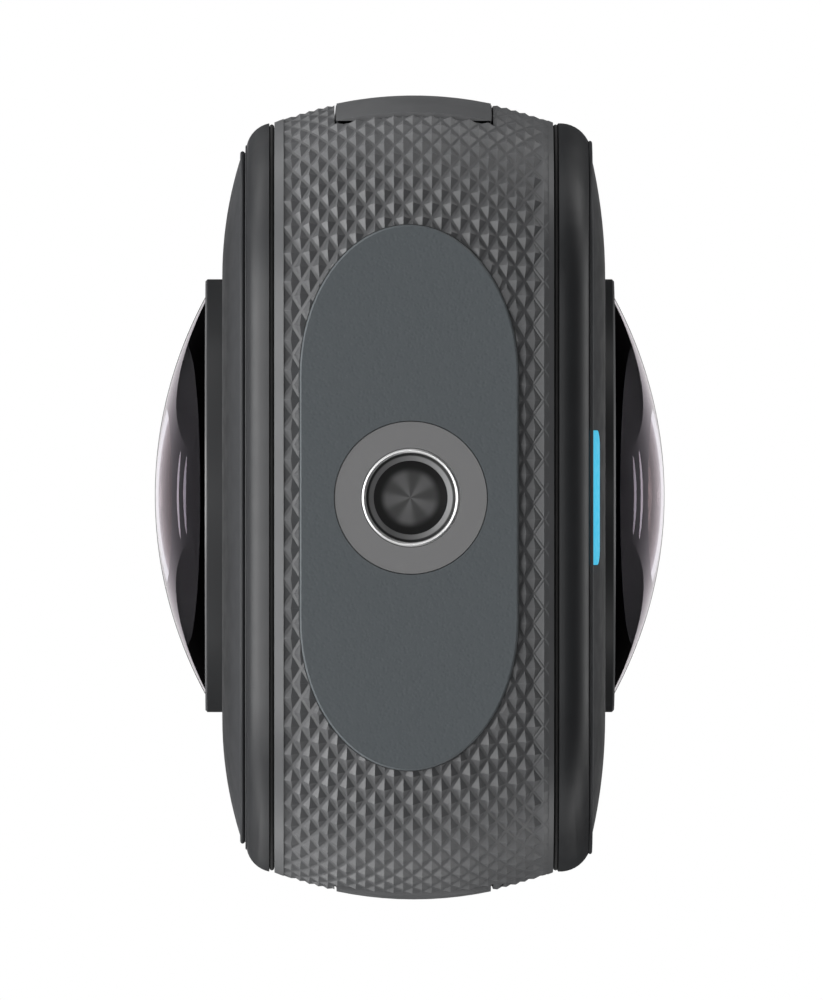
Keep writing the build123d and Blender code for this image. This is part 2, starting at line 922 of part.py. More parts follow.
def make_front_cover():
    """The front cover, with holes for the screen and the shutter and the status light's window."""
    plain = make_cover(front_cover_inset, rim_out)
    with BuildPart() as cover:
        add(plain.part)
        drill(0, screen_height, touch_radius + touch_gap, floor_out, cover_face)
        drill(0, shutter_height, shutter_radius + shutter_gap, floor_out, cover_face)
        cut_sketch(light_window(light_gap), cover_thickness)
    return cover


def make_rear_cover():
    """The rear cover, with the speaker's holes."""
    front = make_cover(rear_cover_inset, floor_out + rear_cover_stand)
    with BuildPart() as cover:
        mirror(front.part, about=Plane.XZ)
        cut_speaker_holes(-cover_face, -floor_out)
    return cover


def make_shell_seal():
    """The rubber seal in the seam between the frame and a shell."""
    with BuildPart() as seal:
        sweep_round(
            [
                (seal_inset, band_half),
                (seal_inset + seal_width, band_half),
                (seal_inset + seal_width, shell_in),
                (seal_inset, shell_in),
            ]
        )
    return seal


def make_shell_screws():
    """The screws that hold both shells on the frame's bosses."""
    seat_depth = floor_out - screw_head_height - slip
    with BuildPart() as screws:
        for x, z in boss_places:
            for side in (-1, 1):
                seat = Plane(origin=(x, side * seat_depth, z), x_dir=(1, 0, 0), z_dir=(0, side, 0))
                add_screw(seat, shell_screw_length)
    return screws


def make_lens_ring():
    """The raised ring round a lens, with a groove for the dome's seal."""
    inner = dome_radius + slip
    groove_low = floor_out + dome_seal_offset
    groove_high = groove_low + dome_seal_groove_height
    groove_radius = inner + dome_seal_groove_depth
    with BuildPart() as ring:
        with BuildSketch(lens_plane):
            with BuildLine():
                Polyline(
                    (inner, floor_out),
                    (lens_ring_radius, floor_out),
                    (lens_ring_radius, ring_face - edge_break / 2),
                    (lens_ring_radius - edge_break / 2, ring_face),
                    (inner, ring_face),
                    (inner, groove_high),
                    (groove_radius, groove_high),
                    (groove_radius, groove_low),
                    (inner, groove_low),
                    close=True,
                )
            make_face()
        revolve(axis=lens_axis)
    return ring


def make_dome():
    """A fisheye's front glass: a thick meniscus, domed outside and hollow behind."""
    outer_radius = (dome_radius**2 + dome_rise**2) / (2 * dome_rise)
    hollow_rise = dome_tip - dome_centre_thickness - dome_base
    hollow_radius = (dome_hollow_radius**2 + hollow_rise**2) / (2 * hollow_rise)
    with BuildPart() as dome:
        with BuildSketch(lens_plane):
            with BuildLine():
                RadiusArc((dome_radius, ring_face), (0, dome_tip), -outer_radius)
                Line((0, dome_tip), (0, dome_base + hollow_rise))
                RadiusArc((0, dome_base + hollow_rise), (dome_hollow_radius, dome_base), hollow_radius)
                Polyline((dome_hollow_radius, dome_base), (dome_radius, dome_base), (dome_radius, ring_face))
            make_face()
        revolve(axis=lens_axis)
    return dome


def make_dome_seal():
    """The rubber ring that seals the lens barrel in its raised ring."""
    depth = floor_out + dome_seal_offset + dome_seal_groove_height / 2
    with BuildPart() as seal:
        with BuildSketch(lens_plane):
            with Locations((dome_radius + dome_seal_wire, depth)):
                Circle(dome_seal_wire)
        revolve(axis=lens_axis)
    return seal


def make_barrel():
    """A lens barrel: a square foot on the sensor board, a neck, a flange and a stepped baffle."""
    foot_top = board_out + barrel_foot_height
    seat_radius = inner_lens_radius + slip
    seat_top = inner_lens_seat + inner_lens_side
    step = (dome_hollow_radius - seat_radius) / baffle_steps
    rise = (dome_base - seat_top) / baffle_steps
    baffle = []
    for count in range(baffle_steps):
        baffle.append((seat_radius + count * step, seat_top + count * rise))
        baffle.append((seat_radius + (count + 1) * step, seat_top + count * rise))
    with BuildPart() as barrel:
        with BuildSketch(front_plane(board_out)):
            with Locations((0, lens_height)):
                RectangleRounded(barrel_foot, barrel_foot, corner_round)
        extrude(amount=barrel_foot_height)
        with BuildSketch(lens_plane):
            with BuildLine():
                Polyline(
                    (barrel_bore_radius, board_out),
                    (barrel_neck_radius, board_out),
                    (barrel_neck_radius, barrel_shoulder),
                    (barrel_radius, barrel_shoulder),
                    (barrel_radius, dome_base),
                    (dome_hollow_radius, dome_base),
                    *reversed(baffle),
                    (seat_radius, inner_lens_seat),
                    (barrel_bore_radius, inner_lens_seat),
                    close=True,
                )
            make_face()
        revolve(axis=lens_axis)
        drill(0, lens_height, barrel_bore_radius, board_out, foot_top)
        half_w, half_h = sensor_width / 2 + sensor_clearance, sensor_height / 2 + sensor_clearance
        cut_block(
            (-half_w, half_w),
            (-board_out - sensor_thickness - sensor_clearance, -board_out),
            (lens_height - half_h, lens_height + half_h),
        )
        for x, z in module_screw_places:
            drill(x, z, screw_radius + slip, board_out, foot_top)
            drill(x, z, screw_head_radius + slip, foot_top, barrel_shoulder)
    return barrel


def make_inner_lens():
    """The small steep element behind the dome."""
    side_top = inner_lens_seat + inner_lens_side
    radius = (inner_lens_radius**2 + inner_lens_rise**2) / (2 * inner_lens_rise)
    with BuildPart() as lens:
        with BuildSketch(lens_plane):
            with BuildLine():
                Polyline(
                    (0, side_top + inner_lens_rise),
                    (0, inner_lens_seat),
                    (inner_lens_radius, inner_lens_seat),
                    (inner_lens_radius, side_top),
                )
                RadiusArc((inner_lens_radius, side_top), (0, side_top + inner_lens_rise), -radius)
            make_face()
        revolve(axis=lens_axis)
    return lens


def make_image_sensor():
    """The sensor chip under a lens."""
    with BuildPart() as sensor:
        block(
            (-sensor_width / 2, sensor_width / 2),
            (-board_out - sensor_thickness, -board_out),
            (lens_height - sensor_height / 2, lens_height + sensor_height / 2),
        )
    return sensor


def make_sensor_board():
    """The small board that carries a sensor, bored for the module's screws."""
    half = sensor_board_size / 2
    with BuildPart() as board:
        block((-half, half), (-board_out, -board_in), (lens_height - half, lens_height + half))
        for x, z in module_screw_places:
            drill(x, z, screw_radius + slip, board_in, board_out)
    return board


def make_lens_bracket():
    """The metal plate that holds the two lens modules back to back."""
    with BuildPart() as bracket:
        block(
            (-bracket_half_width, bracket_half_width),
            (-board_in, board_in),
            (lens_height - bracket_below, lens_height + bracket_above),
        )
        chamfer(bracket.edges().filter_by(Axis.Y), bracket_corner)
        cut_block(
            (-bracket_window / 2, bracket_window / 2),
            (-board_in, board_in),
            (lens_height - bracket_window / 2, lens_height + bracket_window / 2),
        )
        for x, z in module_screw_places:
            drill(x, z, screw_radius + slip, -board_in, board_in)
        for side, z in lug_places:
            x = side * (inner_half_width - lug_screw_inset)
            drill(x, z, screw_radius + slip, -board_in, board_in)
    return bracket


def add_lens_screws():
    """Adds the bracket's four screws and two for each lens module."""
    foot_top = board_out + barrel_foot_height
    for side, z in lug_places:
        x = side * (inner_half_width - lug_screw_inset)
        seat = Plane(origin=(x, board_in, z), x_dir=(1, 0, 0), z_dir=(0, 1, 0))
        add_screw(seat, bracket_thickness + lug_depth - 2 * slip)
    for x, z in module_screw_places:
        for side in (-1, 1):
            seat = Plane(origin=(x, side * foot_top, z), x_dir=(1, 0, 0), z_dir=(0, side, 0))
            add_screw(seat, foot_top - board_in / 2)


def make_touch_glass():
    """The round touch glass in the front cover."""
    with BuildPart() as glass:
        rod_along_y(0, screen_height, touch_radius, floor_out, cover_face - touch_sink)
        chamfer(glass.edges().sort_by(Axis.Y)[0], edge_break / 2)
    return glass


def make_display_panel():
    """The round display bonded behind the touch glass."""
    with BuildPart() as panel:
        rod_along_y(0, screen_height, display_radius, floor_out, floor_out - display_thickness)
    return panel


def make_shutter_button():
    """The shutter button: a dished cap with a flange under the cover and a stem to its switch."""
    cap_face = cover_face - shutter_sink
    flange_out = floor_out - slip
    flange_in = flange_out - shutter_flange_thickness
    with BuildPart() as button:
        rod_along_y(0, shutter_height, shutter_radius, flange_out, cap_face)
        rod_along_y(0, shutter_height, shutter_radius + shutter_flange, flange_in, flange_out)
        rod_along_y(0, shutter_height, shutter_stem_radius, flange_in - shutter_stem_length, flange_in)
        dish_edge = shutter_radius - 2 * edge_break
        dish_radius = (dish_edge**2 + shutter_dish**2) / (2 * shutter_dish)
        with Locations((0, -cap_face + shutter_dish - dish_radius, shutter_height)):
            Sphere(dish_radius, mode=Mode.SUBTRACT)
    return button


def make_shutter_seal():
    """The soft membrane that keeps water out round the shutter's stem."""
    outer = shutter_radius + shutter_flange + shutter_gap + shutter_seal_margin
    with BuildPart() as seal:
        rod_along_y(0, shutter_height, outer, floor_in - shutter_seal_thickness, floor_in)
        drill(
            0,
            shutter_height,
            shutter_stem_radius + sensor_clearance,
            floor_in - shutter_seal_thickness,
            floor_in,
        )
    return seal


def make_shutter_switch():
    """The shutter's switch on its board, which hangs on the front shell's posts."""
    body_top = shutter_board_face + switch_height
    with BuildPart() as switch:
        block(
            (-shutter_board_length / 2, shutter_board_length / 2),
            (-shutter_board_face, switch_board_thickness - shutter_board_face),
            (shutter_height - switch_board_width / 2, shutter_height + switch_board_width / 2),
        )
        block(
            (-switch_size / 2, switch_size / 2),
            (-body_top, -shutter_board_face),
            (shutter_height - switch_size / 2, shutter_height + switch_size / 2),
        )
        rod_along_y(0, shutter_height, switch_plunger_radius, body_top, shutter_switch_top)
    return switch


def make_power_button():
    """The power button: a cap through the right wall, a flange inside it and a stem."""
    flange_out = inner_half_width - slip
    flange_in = flange_out - power_flange_thickness
    with BuildPart() as button:
        with BuildSketch(side_plane(flange_out)):
            with Locations((0, power_height)):
                SlotOverall(power_length, power_width, rotation=90)
        extrude(amount=half_width - power_sink - flange_out)
        cap = button.faces().sort_by(Axis.X)[-1]
        chamfer(cap.edges(), edge_break)
        with BuildSketch(side_plane(flange_in)):
            with Locations((0, power_height)):
                SlotOverall(power_length + 2 * power_flange, power_width + 2 * power_flange, rotation=90)
        extrude(amount=power_flange_thickness)
        with BuildSketch(side_plane(flange_in)):
            with Locations((0, power_height)):
                Circle(power_stem_radius)
        extrude(amount=-power_stem_length)
    return button


def make_power_switch():
    """The power switch on its board, which stands against the battery bay's end wall."""
    body_top = power_board_face + switch_height
    with BuildPart() as switch:
        block(
            (bay_outer_end, power_board_face),
            (-switch_board_width / 2, switch_board_width / 2),
            (power_height - switch_board_length / 2, power_height + switch_board_length / 2),
        )
        block(
            (power_board_face, body_top),
            (-power_width / 2, power_width / 2),
            (power_height - switch_size / 2, power_height + switch_size / 2),
        )
        with BuildSketch(side_plane(body_top)):
            with Locations((0, power_height)):
                Circle(power_stem_radius)
        extrude(amount=switch_plunger_height)
    return switch


def make_battery_door(blank):
    """The battery's side door: a crowned panel, the plug behind it and the two latch tracks."""
    with BuildPart() as door:
        block((-half_width - cut_over, -panel_back), (-door_half, door_half), (door_low, door_high))
        add(blank, mode=Mode.INTERSECT)
        block((-panel_back, -plug_face), (-plug_width / 2, plug_width / 2), (plug_low, plug_high))
        pocket_floor = half_width - latch_pocket_depth
        pocket_half = latch_slider_width / 2 + latch_gap
        neck_half = latch_neck_width / 2 + latch_gap
        tongue_half = latch_tongue_width / 2 + latch_gap
        tongue_out = plug_face + slip + latch_tongue_thickness + slip
        for end, way in ((plug_low, 1), (plug_high, -1)):
            pocket = sorted(
                (
                    end + way * (latch_slider_start - latch_travel - latch_gap),
                    end + way * (latch_slider_start + latch_slider_length + latch_gap),
                )
            )
            neck = sorted(
                (
                    end + way * (latch_neck_start - latch_travel - latch_gap),
                    end + way * (latch_neck_start + latch_neck_length + latch_gap),
                )
            )
            tunnel = sorted((end, end + way * (latch_tongue_start + latch_tongue_length + latch_gap)))
            cut_block((-half_width - cut_over, -pocket_floor), (-pocket_half, pocket_half), pocket)
            cut_block((-pocket_floor, -tongue_out), (-neck_half, neck_half), neck)
            cut_block((-tongue_out, -plug_face), (-tongue_half, tongue_half), tunnel)
    return door


def make_latch(blank, end, way):
    """A battery latch: a grooved slider outside, a neck through the panel and a tongue behind it."""
    pocket_floor = half_width - latch_pocket_depth
    slider_back = pocket_floor + slip
    tongue_in = plug_face + slip
    tongue_out = tongue_in + latch_tongue_thickness
    slider, neck, tongue = (
        sorted((end + way * start, end + way * (start + length)))
        for start, length in (
            (latch_slider_start, latch_slider_length),
            (latch_neck_start, latch_neck_length),
            (latch_tongue_start, latch_tongue_length),
        )
    )
    slider_middle = (slider[0] + slider[1]) / 2
    slider_half = latch_slider_width / 2
    with BuildPart() as latch:
        block((-half_width - cut_over, -slider_back), (-slider_half, slider_half), slider)
        add(blank, mode=Mode.INTERSECT)
        for count in range(latch_groove_count):
            z = slider_middle + (count - (latch_groove_count - 1) / 2) * latch_groove_pitch
            cut_block(
                (-half_width - cut_over, -half_width + latch_groove_depth),
                (-slider_half, slider_half),
                (z - latch_groove_width / 2, z + latch_groove_width / 2),
            )
        block((-slider_back, -tongue_out), (-latch_neck_width / 2, latch_neck_width / 2), neck)
        block((-tongue_out, -tongue_in), (-latch_tongue_width / 2, latch_tongue_width / 2), tongue)
    return latch


def make_battery_gasket():
    """The rubber frame round the plug, which seals the battery door."""
    with BuildPart() as gasket:
        middle = (plug_low + plug_high) / 2
        height = plug_high - plug_low
        with BuildSketch(side_plane(-panel_back)):
            with Locations((0, middle)):
                Rectangle(plug_width + 2 * (slip + gasket_width), height + 2 * (slip + gasket_width))
                Rectangle(plug_width + 2 * slip, height + 2 * slip, mode=Mode.SUBTRACT)
        extrude(amount=gasket_thickness)
    return gasket


def make_battery_pack():
    """The battery behind its door, with slots at its inner end for the contact blades."""
    centre = battery_high - terminal_centre_drop
    with BuildPart() as pack:
        block((-plug_face, battery_end), (-battery_width / 2, battery_width / 2), (battery_low, battery_high))
        fillet(pack.edges().filter_by(Axis.X), battery_corner)
        pocket_half_y = terminal_width / 2 + terminal_gap
        pocket_half_z = terminal_height / 2 + terminal_gap
        pocket_start = bay_inner_end - terminal_block - terminal_gap
        cut_block(
            (pocket_start, battery_end),
            (-pocket_half_y, pocket_half_y),
            (centre - pocket_half_z, centre + pocket_half_z),
        )
        slot_half_y = blade_width / 2 + blade_gap
        slot_half_z = blade_thickness / 2 + blade_gap
        slot_start = bay_inner_end - terminal_block - blade_length - blade_gap
        for z in blade_heights():
            cut_block(
                (slot_start, pocket_start),
                (-slot_half_y, slot_half_y),
                (z - slot_half_z, z + slot_half_z),
            )
    return pack


def blade_heights():
    """The heights of the battery's contact blades."""
    centre = battery_high - terminal_centre_drop
    return [centre + (count - (blade_count - 1) / 2) * blade_pitch for count in range(blade_count)]


def make_battery_bay():
    """The tray that the battery slides into, with posts for the main board on its rear face."""
    inner_low, inner_high = bay_bottom + bay_wall, bay_top - bay_wall
    with BuildPart() as bay:
        block((-inner_half_width, bay_outer_end), (-bay_outer_half, bay_outer_half), (bay_bottom, bay_top))
        block(
            (-inner_half_width, -inner_half_width + bay_flange_thickness),
            (-bay_outer_half - bay_flange_width, bay_outer_half + bay_flange_width),
            (bay_bottom - bay_flange_width / 2, bay_top + bay_flange_width / 2),
        )
        for x, z in board_post_places:
            rod_along_y(x, z, board_post_radius, -bay_outer_half, -board_front)
        cut_block(
            (-inner_half_width, bay_inner_end),
            (-bay_inner_half, bay_inner_half),
            (inner_low, inner_high),
        )
        for x, z in board_post_places:
            drill(x, z, screw_radius + slip, -board_front, -board_front + board_screw_depth)
    return bay


def make_battery_terminals():
    """The contact block on the bay's end wall, with its blades."""
    centre = battery_high - terminal_centre_drop
    base = bay_inner_end - terminal_block
    with BuildPart() as terminals:
        block(
            (base, bay_inner_end),
            (-terminal_width / 2, terminal_width / 2),
            (centre - terminal_height / 2, centre + terminal_height / 2),
        )
        for z in blade_heights():
            block(
                (base - blade_length, base),
                (-blade_width / 2, blade_width / 2),
                (z - blade_thickness / 2, z + blade_thickness / 2),
            )
    return terminals


def make_port_board():
    """The lower board, which carries the card socket and the charging port."""
    with BuildPart() as board:
        block(
            (-board_half_width, board_half_width),
            (port_board_front, port_board_back),
            (port_board_low, port_board_high),
        )
        chamfer(board.edges().filter_by(Axis.Y).group_by(Axis.Z)[0], port_board_corner)
        for side in (-1, 1):
            drill(
                side * port_rib_offset,
                port_board_low + port_screw_rise,
                screw_radius + slip,
                -port_board_back,
                -port_board_front,
            )
    return board


def make_usb_socket():
    """The charging port: a rounded metal shell round a thin tongue."""
    mouth = inner_half_width
    with BuildPart() as socket:
        with BuildSketch(side_plane(mouth)):
            with Locations((0, port_height)):
                SlotOverall(usb_width, usb_thickness, rotation=90)
        extrude(amount=-usb_depth)
        with BuildSketch(side_plane(mouth)):
            with Locations((0, port_height)):
                SlotOverall(usb_width - 2 * usb_wall, usb_thickness - 2 * usb_wall, rotation=90)
        extrude(amount=-(usb_depth - usb_wall * 2), mode=Mode.SUBTRACT)
        back = mouth - usb_depth + usb_wall * 2
        block(
            (back, back + usb_tongue_length),
            (-usb_tongue_thickness / 2, usb_tongue_thickness / 2),
            (port_height - usb_tongue_width / 2, port_height + usb_tongue_width / 2),
        )
    return socket


def make_card_socket():
    """The sleeve on the lower board that holds the memory card."""
    inner_back = port_board_front - card_socket_floor
    inner_front = inner_back - card_thickness - card_lip_height - card_gap
    half = card_width / 2 + card_gap
    with BuildPart() as socket:
        block(
            (-card_outer_end + card_grip, -card_inner_end + card_socket_wall + card_gap),
            (inner_front - card_socket_wall, port_board_front),
            (port_height - half - card_socket_wall, port_height + half + card_socket_wall),
        )
        cut_block(
            (-card_outer_end, -card_inner_end + card_gap),
            (inner_front, inner_back),
            (port_height - half, port_height + half),
        )
    return socket


def make_memory_card():
    """The memory card, with its notch and the lip that a nail pulls on."""
    back = port_board_front - card_socket_floor - card_gap / 2
    front = back - card_thickness
    low, high = port_height - card_width / 2, port_height + card_width / 2
    with BuildPart() as card:
        block((-card_outer_end, -card_inner_end), (front, back), (low, high))
        cut_block(
            (-card_inner_end - card_notch_length, -card_inner_end),
            (front, back),
            (high - card_notch, high),
        )
        block((-card_outer_end, -card_outer_end + card_lip), (front - card_lip_height, front), (low, high))
    return card


def make_inner_screws():
    """The screws inside: the lens bracket's and modules', the main board's four and the lower board's two."""
    with BuildPart() as screws:
        add_lens_screws()
        for x, z in board_post_places:
            seat = Plane(origin=(x, board_back, z), x_dir=(1, 0, 0), z_dir=(0, 1, 0))
            add_screw(seat, board_thickness + board_screw_depth - slip)
        for side in (-1, 1):
            origin = (side * port_rib_offset, port_board_front, port_board_low + port_screw_rise)
            seat = Plane(origin=origin, x_dir=(1, 0, 0), z_dir=(0, -1, 0))
            add_screw(seat, port_board_thickness + port_rib_depth - slip)
    return screws


def make_main_board():
    """The main board on the battery bay's rear posts."""
    with BuildPart() as board:
        block((-board_half_width, board_half_width), (board_front, board_back), (board_low, board_high))
        for x, z in board_post_places:
            drill(x, z, screw_radius + slip, -board_back, -board_front)
    return board


def make_board_chips():
    """The processor and a memory chip on the main board."""
    half = processor_size / 2
    memory_top = processor_low - chip_gap
    with BuildPart() as chips:
        block(
            (-half, half),
            (board_back, board_back + processor_thickness),
            (processor_low, processor_low + processor_size),
        )
        block(
            (memory_side, memory_side + memory_width),
            (board_back, board_back + memory_thickness),
            (memory_top - memory_width, memory_top),
        )
    return chips


def make_shield_can():
    """The pressed metal can over the radio parts, open towards the board."""
    low = processor_low - chip_gap - shield_size
    left = -shield_size - memory_side
    with BuildPart() as can:
        block(
            (left, left + shield_size),
            (board_back, board_back + shield_thickness),
            (low, low + shield_size),
        )
        cut_block(
            (left + shield_wall, left + shield_size - shield_wall),
            (board_back, board_back + shield_thickness - shield_wall),
            (low + shield_wall, low + shield_size - shield_wall),
        )
    return can


def make_heat_spreader():
    """The plate that carries the processor's heat to the rear shell."""
    with BuildPart() as spreader:
        block(
            (-spreader_half_width, spreader_half_width),
            (board_back + processor_thickness, floor_in),
            (board_low + spreader_low_inset, board_high - spreader_high_inset),
        )
    return spreader


def make_flex(points, x_middle, width):
    """A flat cable that follows (y, z) points, with rounded bends."""
    with BuildPart() as flex:
        with BuildSketch(side_plane(x_middle - width / 2)):
            with BuildLine():
                FilletPolyline(*points, radius=sensor_flex_bend)
            trace(line_width=flex_thickness)
        extrude(amount=width)
    return flex


def make_sensor_flex(side):
    """The flat cable from a sensor board to the main board: side is -1 at the front and 1 at the back."""
    depth = side * (board_in + board_out) / 2
    level = board_high - sensor_flex_inset
    points = [(depth, lens_height - sensor_board_size / 2), (depth, level), (board_front, level)]
    return make_flex(points, side * sensor_flex_offset, flex_width)


def make_display_flex():
    """The flat cable from the display, under the battery bay, to the main board."""
    depth = -(floor_out - display_thickness - flex_thickness / 2)
    level = bay_bottom - display_flex_rise
    points = [(depth, screen_height), (depth, level), (board_front, level)]
    return make_flex(points, display_flex_offset, display_flex_width)


def make_usb_door(blank):
    """The charging port's door: a crowned panel whose foot is rounded into its hinge knuckle."""
    top = usb_door_high
    inner = recess_floor + usb_door_back_gap
    with BuildPart() as door:
        block((inner, half_width + cut_over), (-door_half, door_half), (hinge_z, top))
        with Locations(Location((hinge_x, 0, hinge_z), (90, 0, 0))):
            Cylinder(knuckle_radius, door_width)
        add(blank, mode=Mode.INTERSECT)
        with Locations(Location((hinge_x, 0, hinge_z), (90, 0, 0))):
            Cylinder(hinge_pin_radius + hinge_pin_gap, door_width, mode=Mode.SUBTRACT)
        cut_block(
            (half_width - nail_notch_depth, half_width + cut_over),
            (-nail_notch_width / 2, nail_notch_width / 2),
            (top - nail_notch_height, top),
        )
    return door


def make_usb_door_gasket():
    """The rubber plug ring on the door's back, which fills the port's mouth."""
    with BuildPart() as gasket:
        with BuildSketch(side_plane(recess_floor + usb_door_back_gap)):
            with Locations((0, port_height)):
                SlotOverall(usb_gasket_length, usb_gasket_width, rotation=90)
                SlotOverall(
                    usb_gasket_length - 2 * usb_gasket_wall, usb_gasket_width - 2 * usb_gasket_wall,
                    rotation=90, mode=Mode.SUBTRACT,
                )
        extrude(amount=-usb_gasket_height)
    return gasket


def make_usb_hinge_pin():
    """The steel pin of the charging port's door."""
    with BuildPart() as pin:
        with Locations(Location((hinge_x, 0, hinge_z), (90, 0, 0))):
            Cylinder(hinge_pin_radius, 2 * (recess_half + hinge_pin_bite - slip))
    return pin


def make_speaker():
    """The speaker box behind the rear shell's holes."""
    with BuildPart() as speaker:
        block(
            (-speaker_length / 2, speaker_length / 2),
            (floor_in - speaker_thickness, floor_in),
            (speaker_height - speaker_width / 2, speaker_height + speaker_width / 2),
        )
        fillet(speaker.edges().filter_by(Axis.Y), corner_round)
        drill(0, speaker_height, speaker_width / 3, -floor_in, -floor_in + edge_break * 2)
    return speaker


def make_microphones():
    """The four microphones on the inside of the frame's top and sides."""
    half_length, half_width_of_can = mic_length / 2, mic_width / 2
    with BuildPart() as microphones:
        for side in (-1, 1):
            x = side * mic_top_offset
            block(
                (x - half_width_of_can, x + half_width_of_can),
                (-half_length, half_length),
                (inner_top - mic_thickness, inner_top),
            )
            reach = sorted((side * (inner_half_width - mic_thickness), side * inner_half_width))
            block(
                reach,
                (-half_width_of_can, half_width_of_can),
                (mic_side_height - half_length, mic_side_height + half_length),
            )
    return microphones


def make_status_light():
    """The clear window at the front cover's lower edge, with the light pipe behind it."""
    cover = make_cover(front_cover_inset, rim_out)
    with BuildPart() as light:
        extrude(light_window(0), amount=cover_thickness)
        add(cover.part, mode=Mode.INTERSECT)
        block(
            (-light_pipe_half_width, light_pipe_half_width),
            (-floor_out, -floor_in + light_pipe_inner),
            (light_pipe_start, light_pipe_start + light_pipe_height),
        )
    return light


def make_light_board():
    """The status light's board with its lamp, on the front shell's posts."""
    lamp_out = floor_in - light_pipe_inner - led_gap
    board_face = lamp_out - led_thickness
    middle = light_pipe_start + light_pipe_height / 2
    with BuildPart() as board:
        block(
            (-light_board_half_width, light_board_half_width),
            (-board_face, -board_face + light_board_thickness),
            (light_pipe_start, light_board_top),
        )
        block(
            (-led_half_width, led_half_width),
            (-lamp_out, -board_face),
            (middle - light_pipe_height / 3, middle + light_pipe_height / 3),
        )
    return board


def main():
    os.makedirs("parts", exist_ok=True)
    blank = make_crowned_blank()
    finish(make_mid_frame(), "mid_frame")
    finish(make_grip_skin(blank), "grip_skin")
    finish(make_front_shell(), "front_shell")
    finish(make_rear_shell(), "rear_shell")
    finish(make_front_cover(), "front_cover")
    finish(make_rear_cover(), "rear_cover")
    finish_pair(make_shell_seal(), "shell_seal")
    finish(make_shell_screws(), "shell_screws")
    finish(make_base_plate(), "base_plate")
    finish(make_tripod_socket(), "tripod_socket")
    finish(make_socket_screws(), "socket_screws")
    finish_pair(make_lens_ring(), "lens_ring")
    finish_pair(make_dome(), "dome_lens")
    finish_pair(make_dome_seal(), "dome_seal")
    finish_pair(make_barrel(), "lens_barrel")
    finish_pair(make_inner_lens(), "inner_lens")
    finish_pair(make_image_sensor(), "image_sensor")
    finish_pair(make_sensor_board(), "sensor_board")
    finish(make_lens_bracket(), "lens_bracket")
    finish(make_sensor_flex(-1), "front_sensor_flex")
    finish(make_sensor_flex(1), "rear_sensor_flex")
    finish(make_touch_glass(), "touch_glass")
    finish(make_display_panel(), "display_panel")
    finish(make_display_flex(), "display_flex")
    finish(make_shutter_button(), "shutter_button")
    finish(make_shutter_seal(), "shutter_seal")
    finish(make_shutter_switch(), "shutter_switch")
    finish(make_power_button(), "power_button")
    finish(make_power_switch(), "power_switch")
    finish(make_battery_door(blank), "battery_door")
    finish(make_battery_gasket(), "battery_gasket")
    finish(make_battery_pack(), "battery_pack")
    finish(make_battery_bay(), "battery_bay")
    finish(make_battery_terminals(), "battery_terminals")
    finish(make_latch(blank, plug_low, 1), "lower_latch")
    finish(make_latch(blank, plug_high, -1), "upper_latch")
    finish(make_port_board(), "port_board")
    finish(make_usb_socket(), "usb_socket")
    finish(make_card_socket(), "card_socket")
    finish(make_memory_card(), "memory_card")
    finish(make_inner_screws(), "inner_screws")
    finish(make_main_board(), "main_board")
    finish(make_board_chips(), "board_chips")
    finish(make_shield_can(), "shield_can")
    finish(make_heat_spreader(), "heat_spreader")
    finish(make_usb_door(blank), "usb_door")
    finish(make_usb_door_gasket(), "usb_door_gasket")
    finish(make_usb_hinge_pin(), "usb_hinge_pin")
    finish(make_speaker(), "speaker")
    finish(make_microphones(), "microphones")
    finish(make_status_light(), "status_light")
    finish(make_light_board(), "light_board")


main()
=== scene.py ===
"""Looks and studio for a pocket camera with two back-to-back fisheye lenses.

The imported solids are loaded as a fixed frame. Each operator then adds one group of pieces that the
solids leave plain, such as the knurl and the screw thread, or gives the solids their finishes.
"""

import json

import bmesh
import bpy
import numpy as np
from bpy.props import FloatProperty, FloatVectorProperty, IntProperty, PointerProperty
from bpy.types import Operator, Panel, PropertyGroup
from mathutils import Matrix, Vector


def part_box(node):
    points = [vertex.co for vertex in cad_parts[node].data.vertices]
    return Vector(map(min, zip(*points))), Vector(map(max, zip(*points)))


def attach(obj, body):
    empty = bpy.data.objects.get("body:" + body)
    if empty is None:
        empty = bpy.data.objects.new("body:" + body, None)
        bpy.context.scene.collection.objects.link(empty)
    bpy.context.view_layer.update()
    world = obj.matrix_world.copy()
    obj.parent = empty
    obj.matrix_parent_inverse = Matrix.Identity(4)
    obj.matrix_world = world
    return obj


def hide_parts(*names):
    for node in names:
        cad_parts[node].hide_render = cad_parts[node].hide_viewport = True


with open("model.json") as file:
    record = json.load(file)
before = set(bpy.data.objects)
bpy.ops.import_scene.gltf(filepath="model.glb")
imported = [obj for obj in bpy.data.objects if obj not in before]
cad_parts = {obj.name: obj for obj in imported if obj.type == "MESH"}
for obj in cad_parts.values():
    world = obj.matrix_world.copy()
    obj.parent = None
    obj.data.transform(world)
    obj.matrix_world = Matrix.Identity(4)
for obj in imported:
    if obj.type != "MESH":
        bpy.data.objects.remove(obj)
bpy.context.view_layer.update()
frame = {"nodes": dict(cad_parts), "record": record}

bl_info = {
    "name": "Twin-lens camera",
    "version": (1, 0, 0),
    "blender": (4, 5, 0),
    "location": "3D View > Sidebar > Twin-lens camera",
    "description": "Knurl, thread, edges, finishes and studio for a pocket twin-lens camera",
    "category": "Object",
}

MM = 0.001
TURN = 2 * np.pi


# ---------------------------------------------------------------- sizes and colours


def length(name, description, default):
    """A length that a user may change, given in millimetres."""
    return FloatProperty(name=name, description=description, default=default * MM, unit="LENGTH", precision=5)


def part_of_one(name, description, default):
    """A share from 0 to 1 that a user may change."""
    return FloatProperty(name=name, description=description, default=default, subtype="FACTOR")


def colour(name, description, default):
    """A colour that a user may change."""
    return FloatVectorProperty(name=name, description=description, default=default, subtype="COLOR")


